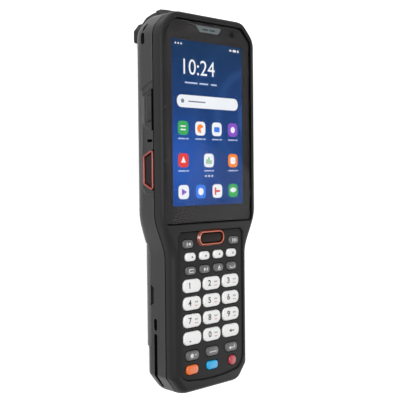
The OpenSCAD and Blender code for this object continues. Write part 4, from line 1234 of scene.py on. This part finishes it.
def make_trigger_ring(name, place):
    seat, crest = SIDE - RING_SEAT, SIDE + 0.25
    profile = [(0, seat), (0, crest - 0.5), (0.12, crest - 0.18), (0.35, crest), (0.7, crest),
               (RING_T - 0.13, crest - 0.15), (RING_T, crest - 0.45), (RING_T, seat)]
    return smooth(skin(name, corner_shape(TRIGGER, 1.5), profile, place, closed=True), 50)


install(make_scan_ring(), ORANGE_TRIM, "orange_trim", "housing", "scan_key_ring")
for side, place in (("left", on_left), ("right", on_right)):
    trigger_ring = make_trigger_ring("trigger_ring_" + side, place)
    install(trigger_ring, TRIGGER_TRIM, "orange_trim", "housing", "trigger_rings")
print("made three rings")

# %% [markdown]
# The triggers and the volume rocker are soft-touch pieces, sunk a little so that they aren't pressed
# by accident. A trigger takes the outline of its ring, drawn in, which keeps the gap even all round.
# The rocker is a section carried along the side, with a ridge that a thumb finds without looking.

# %% Triggers and rocker
def make_trigger(side, place):
    low, high = span(side + "_trigger")
    face = max(abs(low.x), abs(high.x))
    profile = [(0, SIDE - 2.4), (0, face - 0.35), (0.1, face - 0.15), (0.35, face - 0.03), (0.8, face)]
    piece = skin("trigger_face_" + side, corner_shape(shrink(TRIGGER, RING_T + 0.45), 0.8), profile, place)
    return smooth(piece, 50)


for side, place in (("left", on_left), ("right", on_right)):
    trigger = make_trigger(side, place)
    install(trigger, DARK_KEY, "dark_key", side + "_trigger", side + "_trigger")


def make_rocker():
    w, h, base = SIDE - SUNK, ROCKER_H / 2, SIDE - 3.2
    ridge = [(w + 0.22, -1.18), (w + 0.36, -0.92), (w + 0.38, -0.5), (w + 0.36, -0.1), (w + 0.22, 0.16)]
    profile = [(base, -h), (w - 0.8, -h), (w - 0.62, 0.15 - h)] + ridge + [
        (w - 0.62, h - 0.15), (w - 0.8, h), (base, h)]
    half = ROCKER_L / 2
    ends = [(half, 0.35), (half - 0.1, 0.14), (half - 0.35, 0)]
    rings = [[(-u, ROCKER_Y + y, ROCKER_Z + v) for u, v in shrink(profile, inset)]
             for y, inset in [(-y, i) for y, i in ends] + ends[::-1]]
    flange = skin("cutter", pill(ROCKER_L + 1.6, ROCKER_H + 2.9, 1, (ROCKER_Y, ROCKER_Z + 0.65)),
                  [(0, SIDE - 3.3), (0, SIDE - 2.5)], on_left)
    return smooth(combine(loft("rocker", rings), [flange], "UNION"), 50)


rocker = make_rocker()
install(rocker, ROCKER_RUBBER, "rocker_rubber", "volume_rocker", "volume_rocker")
print("triggers and rocker in place")

# %% [markdown]
# The battery pack closes the grip's back. Its long edges are rounded like the shell's, its nose end is
# chamfered so that it can tip out of the bay, and the cells stand in a block on its inner face. Its
# section changes only near the ends, so a loft with nine sections is enough, and the block is joined on.

# %% Battery pack and latch
PACK_EDGE = 11.5


def block_outline(half, y0, y1):
    return [(-half, y0), (half, y0), (half, y1), (-half, y1)]


def make_pack():
    y0, y1, w = pack_low.y, pack_high.y, GRIP_W / 2
    length = [(y0, 1.6), (y0 + 0.35, 0.75), (y0 + 1.4, 0.0), (y0 + 5, 0.0), (y1 - 12.3, 0.0),
              (y1 - 11.4, 0.1), (y1 - 0.7, 3.7), (y1 - 0.2, 4.05), (y1, 4.5)]
    rings = []
    for y, floor in length:
        end = 0.3 if y in (y0, y1) else 0
        side = arc(w - PACK_EDGE, PACK_EDGE, PACK_EDGE - end, 270, 353, 16)
        half = [(x, max(z, floor)) for x, z in side] + [(w - 0.12 - end, PACK_SEAM)]
        rings.append([(x, y, z) for x, z in half + [(-x, z) for x, z in reversed(half)]])
    pack = loft("pack_shell", rings)
    cells = slab("cutter", block_outline(CELL_W / 2, CELL_Y0, CELL_Y1), PACK_SEAM - 1, CELL_TOP, 0.6)
    combine(pack, [cells], "UNION")
    half = TONGUE_W / 2 + LATCH_GAP
    return smooth(combine(pack, [box((-half, y0 - 1, LATCH_Z + 0.7), (half, y0 + 1.6, PACK_SEAM + 1))]))


def make_latch():
    shape = pill(LATCH_W, LATCH_Y1 - LATCH_Y0, 1, (0, (LATCH_Y0 + LATCH_Y1) / 2), 4)
    latch = slab("latch_slider", shape, LATCH_Z, LATCH_Z + LATCH_T, 0.2, 0.4)
    tongue = slab("cutter", block_outline(TONGUE_W / 2, LATCH_Y1 - 1, pack_low.y + 1.2),
                  LATCH_Z + 1, LATCH_Z + LATCH_T - 0.01, 0.2, 0.2)
    combine(latch, [tongue], "UNION")
    grip = [(-0.15, LATCH_Z - 1), (-0.15, LATCH_Z), (0, LATCH_Z + 0.15), (0, LATCH_Z + 0.5)]
    grips = [skin("cutter", stadium((-5, y), (5, y), 0.3), grip)
             for y in (LATCH_Y0 + 1.3 * i + 0.3 for i in (1, 2, 3))]
    return smooth(combine(latch, grips))


battery_pack = make_pack()
install(battery_pack, PACK_PLASTIC, "pack_shell", "battery_pack", "battery_pack")
latch = make_latch()
install(latch, DARK_KEY, "dark_key", "battery_latch", "battery_latch")
print("pack:", len(battery_pack.data.polygons), "faces")

# %% [markdown]
# A scanner reads through a dark red window, which passes the red light of its aiming beam and hides
# the engine. The window is real glass with a red body colour, held by a black rubber frame that stands
# proud of it, so that a knock meets the rubber first. The frame is the head's own form, swollen a little
# and clipped, because no plain block would lie on all of the nose's slopes.

# %% Scan window and its frame
def glass(name, colour, roughness=0.02, ior=1.5, amount=1.0):
    """Clear or tinted glass with a few smudges, which only change its roughness."""
    material, shader = principled(name, colour, roughness)
    shader.inputs["Transmission Weight"].default_value = amount
    shader.inputs["IOR"].default_value = ior
    tree = material.node_tree
    tone = place_group(tree, GRAIN, Patches=40).outputs["Tone"]
    smudges = map_range(tree, tone, (0, 1), (roughness * 0.6, roughness * 1.6))
    tree.links.new(smudges, shader.inputs["Roughness"])
    return material


SCAN_GLASS = glass("scan_glass", (0.35, 0.01, 0.015), 0.03)


def make_bumper():
    """Rubber over the nose's cheeks, with a collar through the shell that holds the window."""
    zone = rounded([(-15, 1.6), (15, 1.6), (21, 15.6), (-21, 15.6)], 1.6)
    bumper = head_form("nose_bumper", -0.68)
    combine(bumper, [skin("cutter", zone, [(0, Y_TOP + 0.1), (0, Y_NOSE + 1)], on_end)], "INTERSECT")
    combine(bumper, [head_form("cutter", -0.03)])
    collar = window_hole(COLLAR_T, pane_low.y - 1, Y_NOSE)
    combine(collar, [head_form("cutter", -0.3)], "INTERSECT")
    combine(bumper, [collar], "UNION")
    return smooth(combine(bumper, [window_hole(0, Y_TOP - 4, Y_NOSE + 1, 0.4)]), 50)


install(make_bumper(), RUBBER, "black_rubber", "housing", "scan_bezel")
pane = slab("scan_pane", pill(PANE_W - 0.04, PANE_H - 0.04, 0.4, (0, WINDOW_Z), 3),
            pane_low.y, pane_high.y, 0.15, 0.15, on_end)
install(smooth(pane), SCAN_GLASS, "scan_glass", "housing", "scan_window")
print("scan window", round(PANE_W, 1), "mm wide")

# %% [markdown]
# The display is a stack, as in the real thing: a lit panel, the black border that is printed on the
# back of the cover glass, and the glass itself with a rounded, polished edge. The panel glows with its
# own colours, so the room's light only adds reflections. Its blue is made of gradients, since a picture
# file would have to travel with the scene.

# %% Lit panel
DISPLAY_W, DISPLAY_H, DISPLAY_Y = 52.3, 87.1, Y_TOP - 57.7
SCREEN_Z = FACE_Z - GLASS_T
panel_low, panel_high = span("display_module")


def srgb(red, green, blue):
    """A screen colour, 0 to 255, as the linear numbers that shaders take."""
    shares = [c / 255 for c in (red, green, blue)]
    return tuple(((c + 0.055) / 1.055) ** 2.4 if c > 0.04 else c / 12.92 for c in shares)


UNLIT = (0.002, 0.002, 0.003)
BACKDROP = [(0.0, srgb(18, 58, 126)), (0.45, srgb(16, 60, 124)), (1.0, srgb(4, 46, 86))]
GLOW_SPOT, GLOW_REACH, GLOW_BLUE = (-20, DISPLAY_Y - 22), 34, srgb(34, 86, 178)
RIPPLE_SPOT, RIPPLE_REACH, RIPPLE_BLUE = (34, DISPLAY_Y + 4), 70, srgb(74, 132, 220)
RIPPLE_PITCH, RIPPLE_START, RIPPLE_STRENGTH = 9, 5, 0.16


def colour_steps(tree, factor, stops):
    ramp = tree.nodes.new("ShaderNodeValToRGB")
    while len(ramp.color_ramp.elements) < len(stops):
        ramp.color_ramp.elements.new(0.5)
    for element, (place, colour) in zip(ramp.color_ramp.elements, stops):
        element.position = place
        element.color = (*colour, 1)
    tree.links.new(factor, ramp.inputs["Fac"])
    return ramp.outputs["Color"]


def distance_from(tree, spot):
    """The distance from a spot of the screen that is given in millimetres."""
    place = [v * MM for v in (*spot, SCREEN_Z)]
    return compute(tree, "DISTANCE", position(tree), place, kind="ShaderNodeVectorMath")


def make_backdrop():
    """A blue that lightens downwards, with a soft glow low on the left and faint wide ripples."""
    material, shader = principled("screen_backdrop", UNLIT, 0.6, specular=0.02)
    tree = material.node_tree
    height = map_range(tree, coordinate(tree, "Y"),
                       ((DISPLAY_Y - DISPLAY_H / 2) * MM, (DISPLAY_Y + DISPLAY_H / 2) * MM))
    glow = map_range(tree, distance_from(tree, GLOW_SPOT), (0, GLOW_REACH * MM), (1, 0), soft_ends=True)
    base = blend_colours(tree, glow, colour_steps(tree, height, BACKDROP), GLOW_BLUE)
    away = distance_from(tree, RIPPLE_SPOT)
    fade = map_range(tree, away, (0, RIPPLE_REACH * MM), (1, 0), soft_ends=True)
    ripples = map_range(tree, compute(tree, "PINGPONG", away, RIPPLE_PITCH * MM),
                        (RIPPLE_START * MM, RIPPLE_PITCH * MM), (0, RIPPLE_STRENGTH), soft_ends=True)
    final = blend_colours(tree, compute(tree, "MULTIPLY", ripples, fade), base, RIPPLE_BLUE)
    tree.links.new(final, shader.inputs["Emission Color"])
    shader.inputs["Emission Strength"].default_value = 1
    return material


screen = slab("display_panel", pill(panel_high.x - panel_low.x, panel_high.y - panel_low.y, 1,
                                    (0, (panel_low.y + panel_high.y) / 2), 3), panel_low.z, SCREEN_Z, 0.05)
install(smooth(screen), make_backdrop(), "display", "housing", "display_module")
print("lit panel", DISPLAY_W, "x", DISPLAY_H, "mm")

# %% [markdown]
# The screen shows a plain start page of our own: a status line, a clock, a search bar and tiles with
# simple shapes. Each patch is a very thin solid that glows, so it stays sharp at any distance.

# %% Start page
def lit(name, colour):
    """A glowing colour with the same slow unevenness as a real panel's backlight."""
    material, shader = principled(name, UNLIT, 0.6, specular=0.02)
    tree = material.node_tree
    tone = place_group(tree, GRAIN).outputs["Tone"]
    shade = blend_colours(tree, tone, toned(colour, 0.92), toned(colour, 1.06))
    tree.links.new(shade, shader.inputs["Emission Color"])
    shader.inputs["Emission Strength"].default_value = 1
    return material


SCREEN_COLOURS = {
    "white": (240, 243, 247), "green": (60, 170, 90), "orange": (250, 135, 45), "blue": (60, 125, 230),
    "violet": (140, 80, 200), "red": (225, 65, 60), "pale": (190, 205, 232), "grey": (120, 130, 150)}
LIT = {name: lit("lit_" + name, srgb(*colour)) for name, colour in SCREEN_COLOURS.items()}
LAYER = 0.03


def patch(title, outlines, colour, layer=0):
    """Lit patches at screen coordinates, in millimetres from the middle of the display."""
    return on_screen(flat_mark(title, outlines), colour, layer)


def on_screen(piece, colour, layer=0):
    for vertex in piece.data.vertices:
        x, y, z = vertex.co
        level = SCREEN_Z + LAYER * layer + (LAYER if z > 0 else 0)
        vertex.co = Vector((x, DISPLAY_Y + y, level)) * MM
    piece.data.materials.append(LIT[colour])
    piece.parent = screen
    return piece


def sector(x, y, radius, start, stop):
    return [(x, y)] + arc(x, y, radius, start, stop, 12)


TILE, TILE_CORNER, TILE_LABEL = 7.4, 2.1, -5.6
FOUR, THREE = (-18.6, -6.2, 6.2, 18.6), (-18.6, 0, 18.6)
TILE_ROWS = [(-2.5, FOUR), (-19.5, THREE), (-36.2, FOUR)]
CLOCK_SIZE, CLOCK_SPOT, CLOCK_LINE_Y, SEARCH_Y, DOTS_Y = 11.5, (-7.5, 29.3), 21.4, 11.6, -27.9
TILE_LOOKS = [
    ("green", "white", lambda x, y: [bar(x, y - 0.9, 3.6, 0.7), bar(x, y + 0.9, 3.6, 0.7)]),
    ("white", "orange", lambda x, y: [sector(x, y, 2.3, 20, 290)]),
    ("white", "blue", lambda x, y: [pill(4.2, 2.8, 0.7, (x, y - 0.2), 3)]),
    ("violet", "white", lambda x, y: [circle(x, y, 1.7, 16)]),
    ("red", "white", lambda x, y: [arrow(x, y, 2.1, 90)]),
    ("white", "green", lambda x, y: [bar(x - 1.5, y - 0.6, 0.9, 2.4), bar(x, y, 0.9, 3.6),
                                     bar(x + 1.5, y - 0.9, 0.9, 1.8)]),
    ("orange", "white", lambda x, y: [pill(3.8, 3.8, 1.0, (x, y), 3)]),
    ("white", "violet", lambda x, y: [arrow(x, y, 2.2, 0)]),
    ("blue", "white", lambda x, y: [circle(x, y, 2.0, 16)]),
    ("white", "red", lambda x, y: [bar(x, y, 4.0, 1.1), bar(x - 1.45, y, 1.1, 4.0)]),
    ("green", "white", lambda x, y: [sector(x, y - 1.2, 2.9, 25, 155)])]


def make_bars():
    """The status line, the clock with a line below it, and the search bar."""
    y = DISPLAY_H / 2 - 2.2
    patch("status_left", [circle(-23.4 + 2 * i, y, 0.5, 12) for i in range(3)], "white")
    patch("status_right", [bar(17.2, y, 1.6, 1.0), pill(2.6, 1.3, 0.3, (20.4, y), 2),
                           bar(23.2, y, 1.1, 1.3)], "white")
    on_screen(number_mark("clock", "10:24", CLOCK_SIZE, *CLOCK_SPOT, 0.0), "white")
    dashes = ((-12.5, 9), (-3.3, 6.4), (4.2, 4.4))
    patch("clock_line", [bar(x, CLOCK_LINE_Y, length, 0.8) for x, length in dashes], "pale")
    patch("search_bar", [pill(45.6, 6.6, 3.1, (0, SEARCH_Y), 5)], "white")
    patch("search_mark", [circle(-18.8, SEARCH_Y + 0.1, 1.15, 16), bar(-8.5, SEARCH_Y, 12.5, 0.7)], "grey", 1)


def make_tiles():
    looks = iter(TILE_LOOKS)
    for row, (y, columns) in enumerate(TILE_ROWS):
        for column, x in enumerate(columns):
            ground, ink, motif = next(looks)
            title = "tile_%d_%d" % (row, column)
            patch(title, [pill(TILE, TILE, TILE_CORNER, (x, y), 4)], ground)
            patch(title + "_motif", motif(x, y), ink, 1)
            if row < len(TILE_ROWS) - 1:
                label = [bar(x - 1.1, y + TILE_LABEL, 5.0, 0.65), bar(x + 2.9, y + TILE_LABEL, 1.8, 0.65)]
                patch(title + "_label", label, "pale")
    patch("page_dots", [circle(2.4 * i, DOTS_Y, 0.55, 12) for i in (-1, 0, 1)], "white")


make_bars()
make_tiles()
print("start page with", len(TILE_LOOKS), "tiles")

# %% [markdown]
# The printed border is a black plate with a window, and with holes for the speaker grille and the
# front camera. A glass with a black rim painted on its face would be simpler, but here the border lies
# behind the clear glass, so its polished edge and its surface show by their reflections alone.

# %% Border and cover glass
BORDER_T, AIR, GRILLE_GAP = 0.08, 0.04, 0.05
grille_low, grille_high = span("earpiece_grille")


def grille_outline(gap=0.0):
    low, high = grille_low.y, grille_high.y
    return rounded(shrink([(6.8, low), (10, high), (-10, high), (-6.8, low)], -gap), 0.6, 4)


BORDER_INK = moulded("border_ink", (0.018, 0.0165, 0.0172), 0.6, depth=0.000001, variation=0.05,
                     edge_wear_and_highlight_gain=1.1, specular=0.05)
COVER_GLASS = glass("cover_glass", (1.0, 1.0, 1.0), 0.015, ior=1.12)


def make_border():
    border = slab("printed_border", shrink(glass_outline(), 0.1), SCREEN_Z, SCREEN_Z + BORDER_T, 0)
    window = pill(DISPLAY_W, DISPLAY_H, 0.4, (0, DISPLAY_Y), 2)
    holes = (window, grille_outline(GRILLE_GAP), circle(*LENS_SPOT, LENS_R - LENS_GAP, 32))
    return smooth(combine(border, [skin("cutter", hole, [(0, 0), (0, 60)]) for hole in holes]))


def make_cover():
    cover = slab("cover_glass", shrink(glass_outline(), 0.02), SCREEN_Z + BORDER_T + AIR, FACE_Z,
                 0.45, 0.1, steps=6)
    hole = skin("cutter", grille_outline(GRILLE_GAP),
                [(0, 0), (0, FACE_Z - 0.2), (-0.2, FACE_Z), (-0.2, 60)])
    return smooth(combine(cover, [hole]), 60)


cover = make_cover()
install(cover, COVER_GLASS, "cover_glass", "housing", "touch_glass")
border = make_border()
install(border, BORDER_INK, "cover_glass", "housing")
print("glass", round(2 * glass_high.x, 1), "x", round(glass_high.y - glass_low.y, 1), "mm")

# %% [markdown]
# The earpiece sits behind a metal grille with two slots. Each camera is turned from nested rings: a
# barrel with a blackened throat, and a small dome in it. The dome on the front stays black behind the
# cover glass, and the one on the back has a blue coating and a window of its own.

# %% Grille and cameras
def make_grille():
    grille = slab("earpiece_mesh", grille_outline(-0.02), SCREEN_Z + 0.1, FACE_Z - 0.05, 0.2)
    y = grille_low.y + 1.55
    slots = [well(stadium((x - 1.6, y), (x + 1.6, y), 0.35), 0, FACE_Z - 0.05, 0.12) for x in (-2.7, 2.7)]
    return smooth(combine(grille, slots))


def turned(name, spot, profile, steps=40, closed=False):
    """A turned piece: rings of (radius, height) about a spot. A closed one has a hole through it."""
    return loft(name, [[(x, y, z) for x, y in circle(*spot, r, steps)] for r, z in profile], closed)


LENS_GLASS = glass("lens_glass", (0.02, 0.03, 0.07), 0.02, amount=0.3)


def make_front_camera():
    low, high = span("front_camera")
    foot, z = low.z, high.z
    barrel = turned("front_lens_barrel", LENS_SPOT, [
        (LENS_R, foot), (LENS_R, z - 0.1), (LENS_R - 0.1, z), (1.75, z), (1.6, z - 0.3), (1.6, foot)],
        closed=True)
    eye = turned("front_lens_eye", LENS_SPOT, [
        (1.58, z - 1.2), (1.58, z - 0.7), (1.3, z - 0.5), (0.8, z - 0.38), (0.25, z - 0.34)])
    return {barrel: BLACK_PLASTIC, eye: DEEP_BLACK}


def make_rear_camera():
    z = BACK_Z
    barrel = turned("rear_lens_barrel", CAMERA_SPOT, [
        (3.7, z + 4), (4.6, z + 3.6), (4.6, z), (4.45, z - 0.3), (4.1, z - 0.4), (3.7, z - 0.38),
        (3.5, z - 0.2), (3.45, z + 0.6), (2.6, z + 1.0), (2.6, z + 4)], closed=True)
    eye = turned("rear_lens_eye", CAMERA_SPOT, [
        (0.5, z + 0.75), (1.4, z + 0.85), (2.2, z + 1.15), (2.58, z + 1.5), (2.58, z + 4)])
    window = turned("rear_lens_window", CAMERA_SPOT, [
        (3.3, z - 0.12), (3.44, z), (3.44, z + 0.3), (3.3, z + 0.4)])
    flash = turned("flash_lens", FLASH_SPOT, [
        (0.6, z + 0.1), (1.2, z + 0.15), (1.5, z + 0.4), (1.5, z + 5.2)])
    return {barrel: BLACK_PLASTIC, eye: LENS_GLASS, window: COVER_GLASS, flash: SILICONE}


grille = make_grille()
install(grille, GRILLE_METAL, "grille_metal", "housing", "earpiece_grille")
for node, pieces in (("front_camera", make_front_camera()), ("rear_camera", make_rear_camera())):
    for piece, material in pieces.items():
        install(smooth(piece), material, "lens", "housing", node)
print("grille and lenses in place")

# %% [markdown]
# The port cover is a flap of rubber with a plug. The screws are turned too, with a six-sided socket,
# and the charging pins are small gold domes.

# %% Small parts
def make_flap():
    low, high = span("port_cover")
    flap = slab("port_flap", pill(14, 7, 1.4, (0, PORT_Z), 5), low.y, low.y + 1.3, 0.1, 0.35, on_end)
    plug = slab("cutter", pill(8, 2.6, 1.0, (0, PORT_Z), 4), low.y + 1.1, high.y, 0.2, 0, on_end)
    combine(flap, [plug], "UNION")
    lift = skin("cutter", stadium((-2.6, PORT_Z + 2.3), (2.6, PORT_Z + 2.3), 0.45),
                [(-0.2, low.y - 1), (-0.2, low.y), (0, low.y + 0.3), (0, low.y + 0.5)], on_end)
    return smooth(combine(flap, [lift]))


def make_screws():
    seat, shank = SCREW_SEAT, 1.0
    head = [(shank, seat - 1.5), (1.65, seat - 1.5), (1.9, seat - 1.2), (1.9, seat), (shank, seat),
            (shank, RIM_Z - 5)]
    screws = []
    for i, spot in enumerate(SCREW_SPOTS):
        screw = turned("screw_%d" % i, spot, head, 24)
        combine(screw, [skin("cutter", circle(*spot, 0.9, 6), [(0, 0), (0, seat - 0.5)])])
        screws.append(smooth(screw))
    return screws


def make_pins():
    low = span("charging_contacts")[0].y
    rings = [(0.7, low), (1.05, low + 0.12), (1.2, low + 0.4), (1.2, low + 3.0), (1.7, low + 3.0),
             (1.7, low + 3.5)]
    pins = []
    for i, x in enumerate(PIN_X):
        outlines = [[on_end(u, v, w) for u, v in circle(x, PORT_Z, r, 24)] for r, w in rings]
        pins.append(smooth(loft("charging_pin_%d" % i, outlines)))
    return pins


flap = make_flap()
install(flap, RUBBER, "black_rubber", "port_cover", "port_cover")
for pieces, node, material, slot_name in ((make_screws(), "housing_screws", STEEL, "steel"),
                                          (make_pins(), "charging_contacts", GOLD, "gold_contact")):
    for piece in pieces:
        install(piece, material, slot_name, "housing", node)
print("flap, screws and pins in place")

# %% [markdown]
# The parts inside keep their own solids. They show only with the pack out or the covers off, but each
# gets a real finish: boards with the coarse grain of glass fibre, rubber, steel and gold.

# %% Inner parts
BOARD_GREEN = moulded("circuit_board", (0.012, 0.10, 0.045), 0.35, grain=1400.0, depth=0.00003, specular=0.5,
                      edge_wear_and_highlight_gain=2.2, variation=0.18)
INNER = {"keypad_mat": SILICONE, "keypad_board": BOARD_GREEN, "main_board": BOARD_GREEN,
         "housing_seal": RUBBER, "scan_engine": BLACK_PLASTIC, "loudspeaker": BLACK_PLASTIC,
         "vibration_motor": STEEL, "side_switches": STEEL, "usb_socket": STEEL, "battery_contacts": GOLD}
for name, material in INNER.items():
    nodes[name].data.materials.clear()
    nodes[name].data.materials.append(material)
print("finished", len(INNER), "inner parts")

# %% [markdown]
# The terminal lies on a pale floor that turns pure white for the camera, for reflections and through
# glass. Leaving the floor out would be simpler, but the body would float: the floor keeps the soft
# shadow under it. A white world adds even light.

# %% Floor and world
WORLD_LIGHT, FLOOR_GLOW, FLOOR_PAINT = 0.32, 0.5, 0.9


def camera_or_reflection(tree):
    """1 for rays from the camera, reflections and glass, 0 for the light that reaches the object."""
    path = tree.nodes.new("ShaderNodeLightPath")
    seen = compute(tree, "MAXIMUM", path.outputs["Is Camera Ray"], path.outputs["Is Glossy Ray"])
    return compute(tree, "MAXIMUM", seen, path.outputs["Is Transmission Ray"])


def make_world():
    world = bpy.data.worlds.new("studio")
    bpy.context.scene.world = world
    world.use_nodes = True
    tree = world.node_tree
    tree.nodes.clear()
    seen = tree.nodes.new("ShaderNodeBackground")
    seen.inputs["Strength"].default_value = 1
    light = tree.nodes.new("ShaderNodeBackground")
    light.inputs["Strength"].default_value = WORLD_LIGHT
    for node in (seen, light):
        node.inputs["Color"].default_value = (1, 1, 1, 1)
    choose = tree.nodes.new("ShaderNodeMixShader")
    out = tree.nodes.new("ShaderNodeOutputWorld")
    tree.links.new(camera_or_reflection(tree), choose.inputs[0])
    tree.links.new(light.outputs[0], choose.inputs[1])
    tree.links.new(seen.outputs[0], choose.inputs[2])
    tree.links.new(choose.outputs[0], out.inputs["Surface"])


def make_floor(level, size=1500):
    """A wide round floor, so that its rim is far outside every view."""
    floor = turned("floor", (0, 0), [(size, level - 2), (size, level)], 64)
    material = bpy.data.materials.new("white_floor")
    material.use_nodes = True
    tree = material.node_tree
    shader = tree.nodes["Principled BSDF"]
    shader.inputs["Base Color"].default_value = (FLOOR_PAINT, FLOOR_PAINT, FLOOR_PAINT, 1)
    shader.inputs["Roughness"].default_value = 0.9
    shader.inputs["Emission Color"].default_value = (1, 1, 1, 1)
    glow = compute(tree, "MULTIPLY", camera_or_reflection(tree), FLOOR_GLOW)
    tree.links.new(glow, shader.inputs["Emission Strength"])
    floor.data.materials.append(material)


make_world()
make_floor(pack_low.z - 0.05)
print("floor and world ready")

# %% [markdown]
# One soft lamp at the left, close to the camera's own direction, lights the face and makes the edges of
# the side stand out. A strip beyond the nose lights the head and the rims, and a weak fill on the right
# keeps that side from going black. A picture of a studio could light the scene too, but each lamp can
# be moved and dimmed on its own.

# %% Lamps
AIM = (0, 0, 14)


def make_lamp(name, place, watts, width, height):
    """A rectangular lamp, placed in millimetres and sized in metres, that points at the terminal."""
    data = bpy.data.lights.new(name, "AREA")
    data.shape, data.size, data.size_y, data.energy = "RECTANGLE", width, height, watts
    lamp = add_object(name, data)
    lamp.location = Vector(place) * MM
    aim = (Vector(AIM) - Vector(place)).normalized()
    lamp.rotation_euler = aim.to_track_quat("-Z", "Y").to_euler()


make_lamp("key_lamp", (-480, 60, 440), watts=3.1, width=0.22, height=0.35)
make_lamp("nose_strip", (-430, 520, 200), watts=2.2, width=0.5, height=0.12)
make_lamp("fill_lamp", (460, -200, 360), watts=1.2, width=0.4, height=0.4)
bpy.context.scene.view_settings.view_transform = "Standard"
print("three lamps")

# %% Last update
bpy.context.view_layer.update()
